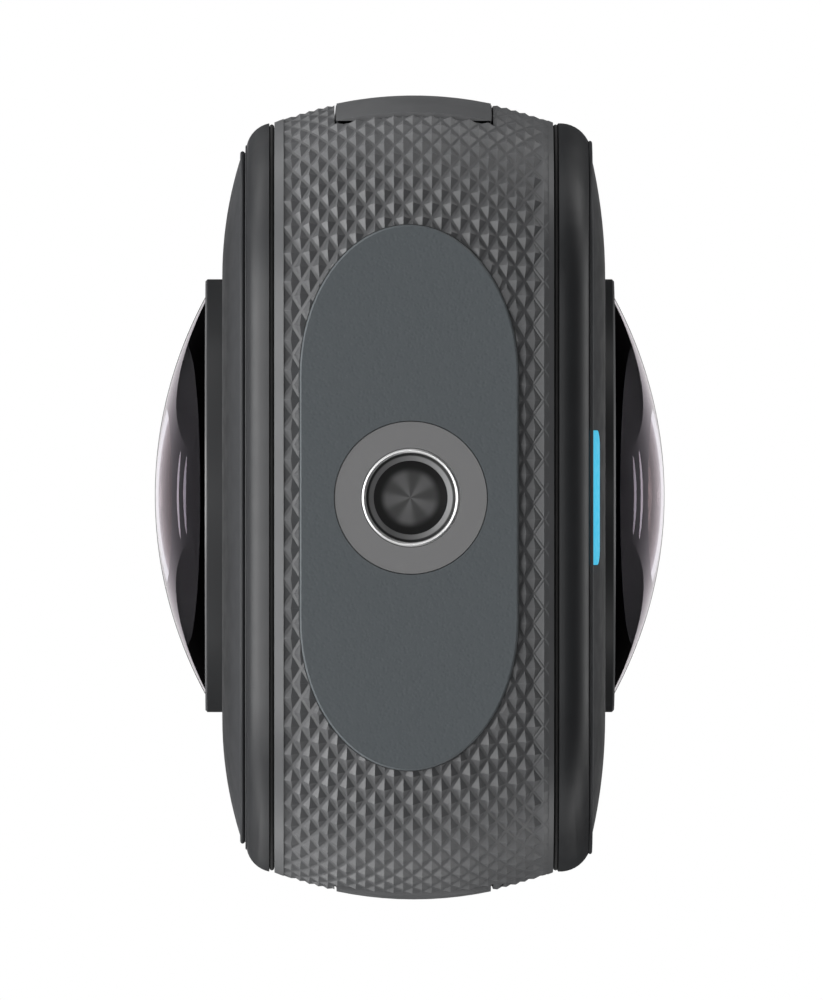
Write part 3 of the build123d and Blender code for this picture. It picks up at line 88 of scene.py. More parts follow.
class BodySizes(PropertyGroup):
    """The body's outline and crown, as the solids have them."""

    half_width: length("Half width", "Half the body's width", 23.1)
    height: length("Height", "Top of the body's outline", 113.0)
    bottom: length("Bottom", "Lowest point of the body's outline", -0.7323)
    low_corner: length("Lower corner", "Radius of the lower corners", 12.4)
    high_corner: length("Upper corner", "Radius of the upper corners", 17.0)
    crown: length("Crown radius", "Radius of the band's crown", 21.4202)


class KnurlSizes(PropertyGroup):
    """The diamond knurl on the band."""

    across: length("Half pitch across", "Half a diamond from front to back", 0.548)
    rows: IntProperty(name="Diamonds round", description="Diamonds in one turn round the body", default=169)
    depth: length("Depth", "Height of a pyramid on the foot", 0.28)
    side_share: part_of_one("Share at the sides", "Share of the depth left on the sides", 0.5)
    groove: part_of_one("Groove share", "Share of a diamond that is groove floor", 0.18)
    tip_sink: length("Tip sink", "Tips below the solid's crowned face", 0.03)
    shift_across: length("Shift across", "First column, from the middle", 0.075)
    shift_round: length("Shift round", "First row, from the middle", 0.374)
    level: length("Pitch level", "Inset at which the rows keep their pitch", 1.0)
    fade: length("Fade", "Way in which the depth fades beside the smooth strips", 0.3)


class ThreadSizes(PropertyGroup):
    """The screw thread in the foot."""

    place: length("Place", "The hole's axis, behind the middle", 0.2)
    root: length("Root radius", "Radius of the hole's wall", 2.61)
    crest: length("Crest radius", "Radius inside the turns", 2.12)
    pitch: length("Pitch", "Rise of one turn", 1.27)
    start: length("Start", "Height of the first turn", 0.95)
    end: length("End", "Height of the last turn", 5.5)
    lip: length("Lip radius", "Radius of the bright lip round the hole", 2.69)
    lip_wire: length("Lip thickness", "Half the lip's thickness", 0.145)
    lip_height: length("Lip height", "The lip's middle above the foot's plane", 0.21)


class EdgeSizes(PropertyGroup):
    """The cords in the seams and beside the battery door."""

    seam_inset: length("Seam inset", "The seam cords' way in from the outline", 1.80)
    seam_depth: length("Seam depth", "The seam cords' distance from the middle plane", 8.15)
    seam_wire: length("Seam cord", "Half a seam cord's thickness", 0.14)
    door_low: length("Door's low end", "Where the door cords start, along the outline", 25.4)
    door_high: length("Door's high end", "Where the door cords end, along the outline", 90.3)
    door_across: length("Door gap", "The door cords' distance from the middle plane", 4.49)
    door_wire: length("Door cord", "Half a door cord's width", 0.04)
    door_sink: length("Door cord's top", "Its upper face below the band", 0.1)
    door_floor: length("Door cord's foot", "Its lower face below the band", 1.3)


class DomeSizes(PropertyGroup):
    """The domed front glasses, as the solids have them."""

    hollow: length("Hollow", "Radius of the hollow at the glass's seat", 8.0)
    thickness: length("Thickness", "Thickness in the middle", 1.6)
    skirt: length("Skirt", "Height of the round wall under the dome", 1.4)


class Colours(PropertyGroup):
    """Base colours of the main finishes."""

    skin: colour("Knurled skin", "Semi-matt grip", (0.115, 0.117, 0.121))
    base: colour("Base plate", "Fine-grained foot", (0.098, 0.112, 0.121))
    shell: colour("Shells", "Satin rims", (0.027, 0.028, 0.030))
    cover: colour("Covers", "Front and rear cover plates", (0.048, 0.049, 0.052))
    metal: colour("Thread metal", "Turned metal", (0.42, 0.42, 0.425))
    light: colour("Status light", "Lit window", (0.006, 0.47, 0.72))


class StudioSizes(PropertyGroup):
    """Camera and surroundings."""

    distance: FloatProperty(name="Distance", description="Camera to foot", default=2.1, unit="LENGTH")
    offset: length("Offset", "Camera's place behind the middle", 6.25)
    side: length("Side offset", "Camera's place to the left of the middle", 3.0)
    frame_height: length("Frame height", "Height of the picture at the foot", 57.14)
    surroundings: part_of_one("Surroundings", "Strength of the soft light from all sides", 0.14)


# ---------------------------------------------------------------- surfaces


def mesh_object(name, points, faces, body, slot=None, smooth=False):
    """Makes a mesh object from arrays and lets it ride on a body."""
    mesh = bpy.data.meshes.new(name)
    mesh.from_pydata(np.asarray(points).tolist(), [], [list(f) for f in faces])
    mesh.validate()
    item = bpy.data.objects.new(name, mesh)
    bpy.context.scene.collection.objects.link(item)
    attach(item, body)
    close_shell(item)
    mesh.shade_smooth() if smooth else mesh.shade_flat()
    return item


def close_shell(item):
    """Merges doubles, drops loose points and turns all faces outwards."""
    work = bmesh.new()
    work.from_mesh(item.data)
    bmesh.ops.remove_doubles(work, verts=work.verts, dist=1e-7)
    bmesh.ops.delete(work, geom=[v for v in work.verts if not v.link_faces], context="VERTS")
    bmesh.ops.recalc_face_normals(work, faces=work.faces)
    work.to_mesh(item.data)
    work.free()


def copy_node(name):
    """A merged copy of a solid's mesh, which is never shown."""
    form = bpy.data.objects.new(name + "_form", frame["nodes"][name].data.copy())
    bpy.context.scene.collection.objects.link(form)
    close_shell(form)
    return form


def apply_modifiers(item):
    """Replaces the mesh by what its modifiers make of it."""
    bpy.context.view_layer.update()
    ready = item.evaluated_get(bpy.context.evaluated_depsgraph_get())
    mesh = bpy.data.meshes.new_from_object(ready)
    item.modifiers.clear()
    item.data = mesh


def outline(body, distance, inset):
    """Points of the body's outline and its outward directions.

    The outline is walked from the middle of the foot to the right, up and round. Each of its nine
    runs is a straight line or a quarter circle; a point is the run's start plus the way gone along
    it. The distance is measured at the given inset, and the same places are returned on that level.
    """
    half, top = body.half_width - inset, body.height - inset
    low, rb, rt = body.bottom + inset, body.low_corner - inset, body.high_corner - inset
    flat, side, lid = half - rb, (top - rt) - (low + rb), half - rt
    quarter = np.pi / 2
    # Each run's length, its radius or 0, its start or its arc's middle, and the quarters turned so far.
    runs = [
        (flat, 0, (0, low), 0), (rb * quarter, rb, (flat, low + rb), 0), (side, 0, (half, low + rb), 1),
        (rt * quarter, rt, (lid, top - rt), 1), (2 * lid, 0, (lid, top), 2),
        (rt * quarter, rt, (-lid, top - rt), 2), (side, 0, (-half, top - rt), 3),
        (rb * quarter, rb, (-flat, low + rb), 3), (flat, 0, (-flat, low), 4),
    ]
    total = sum(run[0] for run in runs)
    way = np.mod(distance, total)
    x, z, turn = np.zeros_like(way), np.zeros_like(way), np.zeros_like(way)
    start = 0.0
    for run, radius, (px, pz), quarters in runs:
        here = (way >= start) & (way <= start + run + 1e-12)
        gone = way - start
        base = quarters * quarter
        if radius:
            angle = base + gone / radius
            cx, cz = px + radius * np.sin(angle), pz - radius * np.cos(angle)
        else:
            angle = base + 0 * gone
            cx, cz = px + gone * np.cos(angle), pz + gone * np.sin(angle)
        x, z, turn = np.where(here, cx, x), np.where(here, cz, z), np.where(here, angle, turn)
        start += run
    return x, z, np.sin(turn), -np.cos(turn), total


def crowned(body, around, across, height, level):
    """Points on the crowned band.

    A point is found on the outline at the level's inset, then moved outwards to the crown's circle:
    it lies at the angle across / radius on that circle, raised by height along the circle's radius.
    """
    x, z, nx, nz, _ = outline(body, around, level)
    angle = across / body.crown
    out = level - body.crown * (1 - np.cos(angle)) + height * np.cos(angle)
    return np.stack([x + nx * out, (body.crown + height) * np.sin(angle), z + nz * out], -1)


def tube_faces(rings, sides, closed_along=True):
    """Quads of a grid of rings by sides, closed round the sides and, where asked, along the rings."""
    i, j = np.meshgrid(np.arange(rings if closed_along else rings - 1), np.arange(sides), indexing="ij")
    a, b = (i + 1) % rings, (j + 1) % sides
    return np.stack([i * sides + j, a * sides + j, a * sides + b, i * sides + b], -1).reshape(-1, 4)


def ribbon_faces(rings):
    """Faces of a ribbon of four-sided rings, closed by a face at each end."""
    last = 4 * rings - 1
    caps = [[0, 1, 2, 3], [last, last - 1, last - 2, last - 3]]
    return [*tube_faces(rings, 4, closed_along=False).tolist(), *caps]


# ---------------------------------------------------------------- shader maths


class Field:
    """A shader socket that takes part in sums written with plain operators."""

    def __init__(self, maker, socket):
        self.maker, self.socket = maker, socket

    def join(self, operation, other, swap=False):
        """The field and another value, joined by a Math node."""
        first, second = (other, self) if swap else (self, other)
        return self.maker.node("ShaderNodeMath", 0, {"operation": operation}, {0: first, 1: second})

    def __add__(self, other):
        return self.join("ADD", other)

    __radd__ = __add__

    def __mul__(self, other):
        return self.join("MULTIPLY", other)

    __rmul__ = __mul__

    def __sub__(self, other):
        return self.join("SUBTRACT", other)

    def __rsub__(self, other):
        return self.join("SUBTRACT", other, swap=True)

    def __pow__(self, other):
        return self.join("POWER", other)

    def __gt__(self, other):
        return self.join("GREATER_THAN", other)

    def __lt__(self, other):
        return self.join("LESS_THAN", other)

    def either(self, other):
        """The greater of two fields."""
        return self.join("MAXIMUM", other)

    def size(self):
        """The field without its sign."""
        return self.maker.node("ShaderNodeMath", 0, {"operation": "ABSOLUTE"}, {0: self})

    def wave(self):
        """The field's sine."""
        return self.maker.node("ShaderNodeMath", 0, {"operation": "SINE"}, {0: self})

    def ramp(self, low, high, start=0.0, end=1.0):
        """The field carried from the range low..high to start..end, smoothly and held at both ends."""
        return self.maker.node(
            "ShaderNodeMapRange", 0, {"interpolation_type": "SMOOTHSTEP"},
            {"Value": self, "From Min": low, "From Max": high, "To Min": start, "To Max": end},
        )


class Maker:
    """Builds one material. A number, a colour or a Field may feed any socket."""

    NAMES = {
        "colour": "Base Color", "rough": "Roughness", "metal": "Metallic", "normal": "Normal",
        "coat": "Coat Weight", "coat_rough": "Coat Roughness", "glow": "Emission Color",
        "glow_strength": "Emission Strength", "pass_through": "Transmission Weight", "bend": "IOR",
        "specular": "Specular IOR Level", "gloss_tint": "Specular Tint",
        "film": "Thin Film Thickness", "film_bend": "Thin Film IOR",
    }

    def __init__(self, name):
        self.material = bpy.data.materials.new(name)
        self.material.use_nodes = True
        self.tree = self.material.node_tree
        self.tree.nodes.clear()
        self.place = self.node("ShaderNodeTexCoord", "Object")

    def feed(self, socket, value):
        """Links a Field to the socket, or sets the socket to a plain value."""
        if isinstance(value, Field):
            self.tree.links.new(value.socket, socket)
        elif isinstance(value, (tuple, list)) and socket.type == "RGBA" and len(value) == 3:
            socket.default_value = (*value, 1.0)
        else:
            socket.default_value = value

    def node(self, kind, output=0, settings=None, sockets=None):
        """Adds a node: first its settings, then the values or links of its sockets."""
        node = self.tree.nodes.new(kind)
        for name, value in (settings or {}).items():
            setattr(node, name, value)
        for name, value in (sockets or {}).items():
            self.feed(node.inputs[name], value)
        return Field(self, node.outputs[output])

    def noise(self, scale, detail=2.0, roughness=0.5):
        """Noise from 0 to 1, with the scale in spots per metre."""
        sockets = {"Vector": self.place, "Scale": scale, "Detail": detail, "Roughness": roughness}
        return self.node("ShaderNodeTexNoise", "Fac", None, sockets)

    def cells(self, scale):
        """Distance to the nearest point of a scattered set, with the scale in points per metre."""
        return self.node("ShaderNodeTexVoronoi", "Distance", None, {"Vector": self.place, "Scale": scale})

    def axes(self):
        """The place on the object as three fields, in metres."""
        split = self.node("ShaderNodeSeparateXYZ", 0, None, {0: self.place}).socket.node
        return [Field(self, split.outputs[i]) for i in range(3)]

    def radius(self, first, second):
        """Distance from the axis on which both fields are zero."""
        return (first * first + second * second) ** 0.5

    def mix(self, colour, factor, other):
        """The colour, turned into the other one by the factor."""
        return self.node("ShaderNodeMix", 2, {"data_type": "RGBA"}, {0: factor, 6: colour, 7: other})

    def bump(self, height, depth):
        """A bump whose height field is worth this depth, in metres."""
        return self.node("ShaderNodeBump", 0, None, {"Height": height, "Distance": depth, "Strength": 1.0})

    def shader(self, **sockets):
        """A Principled shader with these sockets."""
        return self.node("ShaderNodeBsdfPrincipled", 0, None, {self.NAMES[k]: v for k, v in sockets.items()})

    def output(self, shader):
        """Ends the material in this shader and returns it."""
        out = self.tree.nodes.new("ShaderNodeOutputMaterial")
        self.tree.links.new(shader.socket, out.inputs["Surface"])
        return self.material

    def finish(self, **sockets):
        """Ends the material in one Principled shader with these sockets."""
        return self.output(self.shader(**sockets))


def shade(colour, share):
    """A colour made lighter or darker by a share."""
    return tuple(min(1.0, c * share) for c in colour)


# ---------------------------------------------------------------- finishes


def polymer(name, colour, rough=0.5, grain=9000, grain_depth=6e-6, cloud=0.04, specular=0.5):
    """Moulded plastic: fine spark-eroded grain and faint clouds of colour and gloss."""
    m = Maker(name)
    tone = m.mix(shade(colour, 1 - cloud), m.noise(260, 3).ramp(0.35, 0.65), shade(colour, 1 + cloud))
    fine = m.noise(grain, 2) + m.cells(grain * 0.7) * 0.6
    roughness = m.noise(900, 2).ramp(0.3, 0.7, rough - 0.02, rough + 0.02)
    return m.finish(colour=tone, rough=roughness, normal=m.bump(fine, grain_depth), specular=specular)


def cover_polymer(name, colour, edge, flat):
    """Satin cover plate with painted shade: lighter on the roll along its edge and darker on the flat face.

    The share of the darker tone rises with the depth from the edge's to the flat face's.
    """
    m = Maker(name)
    _, y, _ = m.axes()
    # Painted shade: the tone darkens from the edge's depth to the flat face's.
    tone = m.mix(colour, y.size().ramp(edge, flat), shade(colour, 0.3))
    tone = m.mix(tone, m.noise(260, 3).ramp(0.35, 0.65) * 0.08, shade(colour, 1.2))
    fine = m.noise(12000, 2) + m.cells(8400) * 0.6
    rough = m.noise(900, 2).ramp(0.3, 0.7, 0.46, 0.52)
    return m.finish(colour=tone, rough=rough, normal=m.bump(fine, 2.5e-6), specular=0.03)


def metal(name, colour, rough=0.3, grain=7000, grain_depth=3e-6, cloud=0.05):
    """Blasted and plated metal: even fine pits and faint streaks."""
    m = Maker(name)
    tone = m.mix(shade(colour, 1 - cloud), m.noise(300, 3).ramp(0.35, 0.65), shade(colour, 1 + cloud))
    roughness = m.noise(1500, 2).ramp(0.3, 0.7, rough - 0.04, rough + 0.04)
    return m.finish(colour=tone, rough=roughness, metal=1.0, normal=m.bump(m.noise(grain, 2), grain_depth))


def rubber(name, colour):
    """Moulded rubber: dull, with a dusty bloom and a soft uneven face."""
    m = Maker(name)
    tone = m.mix(colour, m.noise(700, 4).ramp(0.45, 0.8), shade(colour, 1.6))
    return m.finish(colour=tone, rough=0.75, normal=m.bump(m.noise(4000, 3), 1.2e-5), specular=0.3)


def knurled_polymer(name, colour):
    """The grip's semi-matt plastic, with fine grain on every face."""
    m = Maker(name)
    tone = m.mix(shade(colour, 0.96), m.noise(400, 3).ramp(0.35, 0.65), shade(colour, 1.04))
    rough = m.noise(1200, 2).ramp(0.3, 0.7, 0.39, 0.45)
    return m.finish(colour=tone, rough=rough, normal=m.bump(m.noise(15000, 2), 2.5e-6))


def base_polymer(name, colour):
    """The foot's plate: a fine leathery grain of rounded pits."""
    m = Maker(name)
    pits = m.cells(4200).ramp(0.05, 0.6) + m.noise(9000, 2) * 0.5
    tone = m.mix(shade(colour, 0.97), m.noise(6000, 3).ramp(0.35, 0.65), shade(colour, 1.03))
    rough = m.noise(1800, 2).ramp(0.3, 0.7, 0.52, 0.6)
    return m.finish(colour=tone, rough=rough, normal=m.bump(pits, 6e-6), specular=0.4)


def turned_metal(name, colour, place):
    """The socket's metal: blasted disc, fine turning rings, painted shade in the hole and a painted star of
    highlights on its floor.
    """
    rays, ring, hole = 5.0, 0.09 * MM, 2.85 * MM
    m = Maker(name)
    x, y, z = m.axes()
    across = y - place
    r = m.radius(x, across)
    deep = z.ramp(5.0 * MM, 6.2 * MM)
    angle = m.node("ShaderNodeMath", 0, {"operation": "ARCTAN2"}, {0: across, 1: x})
    painted_star = (angle * rays + m.noise(300, 2) * 1.5).wave()
    # Painted shade: the hole's wall and floor are darker than the disc.
    tone = m.mix(shade(colour, 0.36), z.ramp(0.1 * MM, 0.3 * MM) * (r < hole), shade(colour, 0.2))
    # Painted highlight: a lighter star of rays on the middle of the hole's floor; the floor round it keeps
    # the painted shade.
    glow = r.ramp(1.3 * MM, 1.8 * MM, 1.0, 0.0) * painted_star.ramp(-1.0, 1.0, 0.45, 1.0)
    tone = m.mix(tone, deep * glow, shade(colour, 1.4))
    height = (r * (TURN / ring)).wave() * 0.35 + m.noise(9000, 2)
    metallic = deep.ramp(0.0, 1.0, 1.0, 0.0)
    return m.finish(colour=tone, rough=0.42, metal=metallic, normal=m.bump(height, 1.2e-6))


def thread_metal(name, colour, place):
    """The thread's turns: dull metal with painted shade towards the root, and fine marks of the tap."""
    mark = 0.06 * MM
    m = Maker(name)
    x, y, z = m.axes()
    r = m.radius(x, y - place)
    marks = (z * (TURN / mark)).wave() * 0.3 + m.noise(8000, 2)
    # Painted shade: darker towards the root, the metal's own colour at the crest.
    tone = m.mix(shade(colour, 0.12), r.ramp(2.36 * MM, 2.44 * MM, 1.0, 0.0), colour)
    return m.finish(colour=tone, rough=0.7, metal=0.3, normal=m.bump(marks, 1e-6))


def ring_metal(name, colour, ring):
    """The lens ring's dark anodised metal with a bright cut edge round its outer corner."""
    m = Maker(name)
    x, y, z = m.axes()
    r = m.radius(x, z - ring.height)
    edge = y.size().ramp(ring.face - 0.12 * MM, ring.face - 0.02 * MM) * r.ramp(
        ring.radius - 0.25 * MM, ring.radius - 0.15 * MM)
    tone = m.mix(colour, edge, (0.16, 0.16, 0.165))
    turning = (r * (TURN / (0.12 * MM))).wave()
    return m.finish(colour=tone, rough=edge.ramp(0, 1, 0.4, 0.25),
                    normal=m.bump(turning * 0.4 + m.noise(9000, 2), 1.5e-6))


def coated_glass(name, colour, inner, film, lens):
    """Polished lens glass with a thin coating.

    A place lies on the outer face when its distance from that face's centre is the face's radius.
    The face behind it has the darker tint of its coating, and the seat and skirt are painted black.
    """
    m = Maker(name)
    x, y, z = m.axes()
    up = z - lens.height
    r = m.radius(x, up)
    middle = y.size() - (lens.face - lens.ball)
    outer = (r * r + middle * middle) ** 0.5 > lens.ball - 0.1 * MM
    dust = m.noise(700, 3).ramp(0.45, 0.9, 0.01, 0.025)
    tone = m.mix(inner, outer, colour)
    glass = m.shader(colour=tone, rough=dust, pass_through=1.0, bend=1.52, film=film, film_bend=1.38,
                     gloss_tint=(1.0, 0.90, 0.97))
    paint = m.shader(colour=(0.006, 0.006, 0.007), rough=0.6)
    inside = (y.size() < lens.painted) * (outer < 0.5)
    painted = (y.size() < lens.seat + 0.01 * MM).either(r > lens.radius - 0.02 * MM).either(inside)
    return m.output(m.node("ShaderNodeMixShader", 0, None, {0: painted, 1: glass, 2: paint}))


def dark_glass(name, colour):
    """Polished cover glass over the screen, with faint smears."""
    m = Maker(name)
    smears = m.noise(160, 5, 0.6).ramp(0.4, 0.75, 0.03, 0.11)
    tone = m.mix(colour, m.noise(300, 2).ramp(0.3, 0.7), shade(colour, 1.25))
    return m.finish(colour=tone, rough=smears, specular=0.25, normal=m.bump(m.noise(900, 2), 4e-7))


def lit_window(name, colour):
    """The status light: a frosted pale blue window, brightest over the lamp."""
    m = Maker(name)
    x, _, _ = m.axes()
    strength = x.size().ramp(0.0008, 0.0040, 1.0, 0.85) * m.noise(1500, 2).ramp(0.2, 0.8, 0.93, 1.0)
    glow = m.mix(shade(colour, 0.5), strength, colour)
    rough = m.noise(3000, 2).ramp(0.3, 0.7, 0.3, 0.4)
    return m.finish(colour=(0.003, 0.03, 0.05), rough=rough, glow=glow, glow_strength=1.0, specular=0.08)


def board(name, colour):
    """A circuit board: solder mask over copper tracks, with small bare pads."""
    m = Maker(name)
    grid = {"Vector": m.place, "Scale": 420.0, "Mortar Size": 0.012}
    tracks = m.node("ShaderNodeTexBrick", "Fac", None, grid)
    pads = m.cells(900).ramp(0.12, 0.16, 1.0, 0.0)
    tone = m.mix(m.mix(colour, tracks * 0.6, shade(colour, 1.7)), pads, (0.6, 0.45, 0.2))
    return m.finish(colour=tone, rough=0.35, normal=m.bump(tracks + pads, 1.5e-5), coat=0.3)


class Round:
    """Where a round lens part lies: its axis height, its radius, and how deep it reaches.

    Its outer face is a ball that meets the part's edge at the lens ring's face: the ball's radius is
    (radius^2 + rise^2) / (2 * rise), with the rise from the ring's face to the part's tip.
    """

    PAINTED_SHARE = 0.42  # of the depth from the seat to the tip, black on the inside

    def __init__(self, node):
        low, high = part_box(node)
        self.height, self.radius = (low[2] + high[2]) / 2, high[0]
        self.face, self.seat = -low[1], -high[1]
        self.painted = self.seat + (self.face - self.seat) * self.PAINTED_SHARE
        rise = max(self.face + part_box("front_lens_ring")[0][1], 0.1 * MM)
        self.ball = (self.radius**2 + rise**2) / (2 * rise)


# ---------------------------------------------------------------- pieces


def knurl_sheet(body, size):
    """Points and faces of a closed ring whose outer side is the knurl.

    The lattice has columns across the band and rows round the body. A pyramid stands on every place
    whose column and row numbers add up to an even number. Its four faces fall from the tip to a
    smaller diamond, and a flat groove floor lies from there to the lines between neighbours. The
    depth falls smoothly from the foot and the top towards the sides. The ring's inner side is the
    same lattice, sunk by a fixed depth.
    """
    columns, rows, sunk = 17, 2 * size.rows, 0.6 * MM
    flat_side, flat_end = 0.26, 0.87  # how upright the outline is where the depth starts and stops to grow
    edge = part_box("grip_skin")[1][1]
    count = 2 * columns + 1
    row_pitch = outline(body, np.zeros(1), size.level)[4] / rows
    share = 1 - size.groove
    steps = ((1, 0), (0, 1), (-1, 0), (0, -1))

    def place(column, row, raised, lower=0.0):
        around = size.shift_round + row * row_pitch
        upright = np.abs(outline(body, around, size.level)[3])
        part = np.clip((upright - flat_side) / (flat_end - flat_side), 0, 1)
        depth = size.depth * (size.side_share + (1 - size.side_share) * part * part * (3 - 2 * part))
        out = body.crown * np.abs(np.sin((size.shift_across + column * size.across) / body.crown))
        depth = depth * np.clip((edge - out) / size.fade, 0, 1)
        height = -size.tip_sink - np.where(raised, 0, depth) - lower
        return crowned(body, around, size.shift_across + column * size.across, height, size.level)

    column, row = np.meshgrid(np.arange(-columns, columns + 1), np.arange(rows), indexing="ij")
    even = (column + row) % 2 == 0
    lattice = place(column, row, even).reshape(-1, 3)
    under = place(column, row, False, sunk).reshape(-1, 3)
    number = np.arange(count * rows).reshape(count, rows)
    inner = (np.abs(column) < columns) & even
    ci, ri, own = column[inner], row[inner], number[inner]
    shoulders = [place(ci + share * a, ri + share * b, False) for a, b in steps]
    first = [len(lattice) + k * len(own) + np.arange(len(own)) for k in range(4)]
    corner = [number[ci + columns + a, (ri + b) % rows] for a, b in steps]
    low = len(lattice) + 4 * len(own)
    faces = []
    for k in range(4):
        after = (k + 1) % 4
        faces += np.stack([own, first[k], first[after]], -1).tolist()
        faces += np.stack([first[k], corner[k], corner[after], first[after]], -1).tolist()
        faces += (np.stack([own, corner[after], corner[k]], -1) + low).tolist()
    edges = {(a, b) for face in faces for a, b in zip(face, face[1:] + face[:1])}
    faces += [[b, a, a + low, b + low] for a, b in edges if a < low and (b, a) not in edges]
    return np.concatenate([lattice] + shoulders + [under]), faces


class CAMERA_OT_knurl(Operator):
    """Makes the knurled skin: the knurl's ring, cut to the solid skin's outline"""

    bl_idname = "twin_lens.knurl"
    bl_label = "Knurled skin"
    FEWEST_FACES = 20000

    def execute(self, context):
        points, faces = knurl_sheet(context.scene.twin_lens_body, context.scene.twin_lens_knurl)
        sheet = mesh_object("knurled_skin", points, faces, "camera", "knurled_skin")
        form = copy_node("grip_skin")
        cut = sheet.modifiers.new("cut to the skin's outline", "BOOLEAN")
        cut.operation, cut.solver, cut.object = "INTERSECT", "MANIFOLD", form
        apply_modifiers(sheet)
        bpy.data.objects.remove(form)
        if len(sheet.data.polygons) < self.FEWEST_FACES:
            raise RuntimeError("the knurled skin was not cut to its outline")
        sheet.data.shade_flat()
        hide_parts("grip_skin")
        return {"FINISHED"}


class CAMERA_OT_thread(Operator):
    """Makes the screw thread in the foot, a ridge wound up the hole's wall"""

    bl_idname = "twin_lens.thread"
    bl_label = "Screw thread"

    def execute(self, context):
        size = context.scene.twin_lens_thread
        mesh_object("screw_thread", *thread_ridge(size), "camera", "thread_metal")
        mesh_object("socket_lip", *lip_ring(size), "camera", "thread_metal", smooth=True)
        return {"FINISHED"}


def lip_ring(size):
    """Points and faces of the lip: a circle carried round the hole's axis at the lip's radius."""
    rings, sides = 144, 12
    turn, tube = np.arange(rings)[:, None] * TURN / rings, np.arange(sides)[None] * TURN / sides
    radius = size.lip + size.lip_wire * np.cos(tube)
    height = size.lip_height - size.lip_wire * np.sin(tube) + 0 * turn
    points = np.stack([radius * np.cos(turn), radius * np.sin(turn) + size.place, height], -1)
    return points.reshape(-1, 3), tube_faces(rings, sides)


def thread_ridge(size):
    """Points and faces of the thread.

    A point of the ridge is its profile point, turned by the angle gone and raised by a pitch for
    each turn. The profile is a trapezium from root to crest, and it sinks into the wall at both ends.
    """
    turns = (size.end - size.start) / size.pitch
    steps = int(72 * turns)
    share = np.linspace(0, 1, steps)[:, None]
    angle = share * turns * TURN
    fade = np.clip(np.minimum(share, 1 - share) * turns * 6, 0, 1)
    inward, along = np.array([[0.0, 1.0, 1.0, 0.0]]), np.array([[-0.46, -0.11, 0.11, 0.46]]) * size.pitch
    radius = size.root - (size.root - size.crest) * fade * inward
    height = size.start + share * turns * size.pitch + along * (0.15 + 0.85 * fade)
    points = np.stack([radius * np.cos(angle), radius * np.sin(angle) + size.place, height], -1)
    return points.reshape(-1, 3), ribbon_faces(steps)


def bead_loop(body, side, inset, depth, radius):
    """Points of one bead: a circle of eight points, carried along the outline at its inset and depth."""
    sides, rings = 8, 640
    total = outline(body, np.zeros(1), inset)[4]
    x, z, nx, nz, _ = outline(body, np.arange(rings) * total / rings, inset)
    turn = np.arange(sides) * TURN / sides
    out, along = radius * np.cos(turn), radius * np.sin(turn)
    x, z, nx, nz = (column[:, None] for column in (x, z, nx, nz))
    ring = [x + nx * out, side * (depth + along)[None] + 0 * x, z + nz * out]
    return np.stack(ring, -1).reshape(-1, 3), tube_faces(rings, sides)


def dome_glass(size, lens, side):
    """Points and faces of a dome, turned round the lens axis.

    The profile goes down the outer circle from the tip, down the skirt, in along the seat and up the
    hollow's circle. A circle's height at a radius r is its top less ball - sqrt(ball^2 - r^2).
    """
    rise = lens.face - lens.seat - size.thickness
    hollow_ball = (size.hollow**2 + rise**2) / (2 * rise)
    out = np.sin(np.linspace(0, 1, 40) * np.arcsin(lens.radius / lens.ball)) * lens.ball
    down = lens.face - lens.ball + np.sqrt(lens.ball**2 - out**2)
    into = np.sin(np.linspace(1, 0, 32) * np.arcsin(size.hollow / hollow_ball)) * hollow_ball
    up = lens.seat + rise - hollow_ball + np.sqrt(hollow_ball**2 - into**2)
    wall, seat = np.linspace(down[-1], lens.seat, 6)[1:], np.linspace(lens.radius, size.hollow, 6)[1:-1]
    r = np.concatenate([out[1:], wall * 0 + lens.radius, seat, into[:-1]])
    y = np.concatenate([down[1:], wall, seat * 0 + lens.seat, up[:-1]])
    sides = 160
    around = np.arange(sides)
    turn, out, deep = around * TURN / sides, r[:, None], y[:, None]
    ring = [out * np.cos(turn), side * (deep + 0 * turn), lens.height + out * np.sin(turn)]
    points = np.stack(ring, -1).reshape(-1, 3)
    count, last = len(points), len(points) - sides
    tips = [[0, side * down[0], lens.height], [0, side * up[-1], lens.height]]
    caps = [np.stack([around * 0 + tip, around + first, (around + 1) % sides + first], -1)
            for tip, first in ((count, 0), (count + 1, last))]
    faces = tube_faces(len(r), sides, closed_along=False).tolist() + np.concatenate(caps).tolist()
    return np.concatenate([points, tips]), faces


class CAMERA_OT_domes(Operator):
    """Makes the two domed glasses, finely rounded so that they mirror and bend light cleanly"""

    bl_idname = "twin_lens.domes"
    bl_label = "Domed glasses"

    def execute(self, context):
        for name, side in (("front", -1), ("rear", 1)):
            lens = Round("front_dome_lens")
            points, faces = dome_glass(context.scene.twin_lens_domes, lens, side)
            dome = mesh_object(name + "_dome", points, faces, "camera", "lens_glass", smooth=True)
            dome.data.set_sharp_from_angle(angle=np.radians(25))
            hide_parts(name + "_dome_lens")
        return {"FINISHED"}


def door_cord(body, size, side):
    """Points and faces of a cord in the gap beside the battery door, a ribbon along the outline.

    Its four-cornered profile is carried along the crowned band at a fixed distance from the middle.
    """
    rings = 80
    around = -np.linspace(size.door_low, size.door_high, rings)[:, None] + np.zeros((1, 4))
    wire, top, foot = size.door_wire, -size.door_sink, -size.door_floor
    sideways = side * size.door_across + np.array([[-wire, wire, wire, -wire]]) + 0 * around
    height = np.array([[top, top, foot, foot]]) + 0 * around
    return crowned(body, around, sideways, height, 0.0).reshape(-1, 3), ribbon_faces(rings)


# Each bead's inset from the outline, its depth from the middle plane and its radius, in millimetres.
BEADS = {
    "front_edge_beads": (-1, ((2.60, 9.96, 0.06), (2.72, 10.13, 0.12))),
    "rear_edge_beads": (1, ((2.93, 9.60, 0.07), (3.34, 9.83, 0.14))),
}


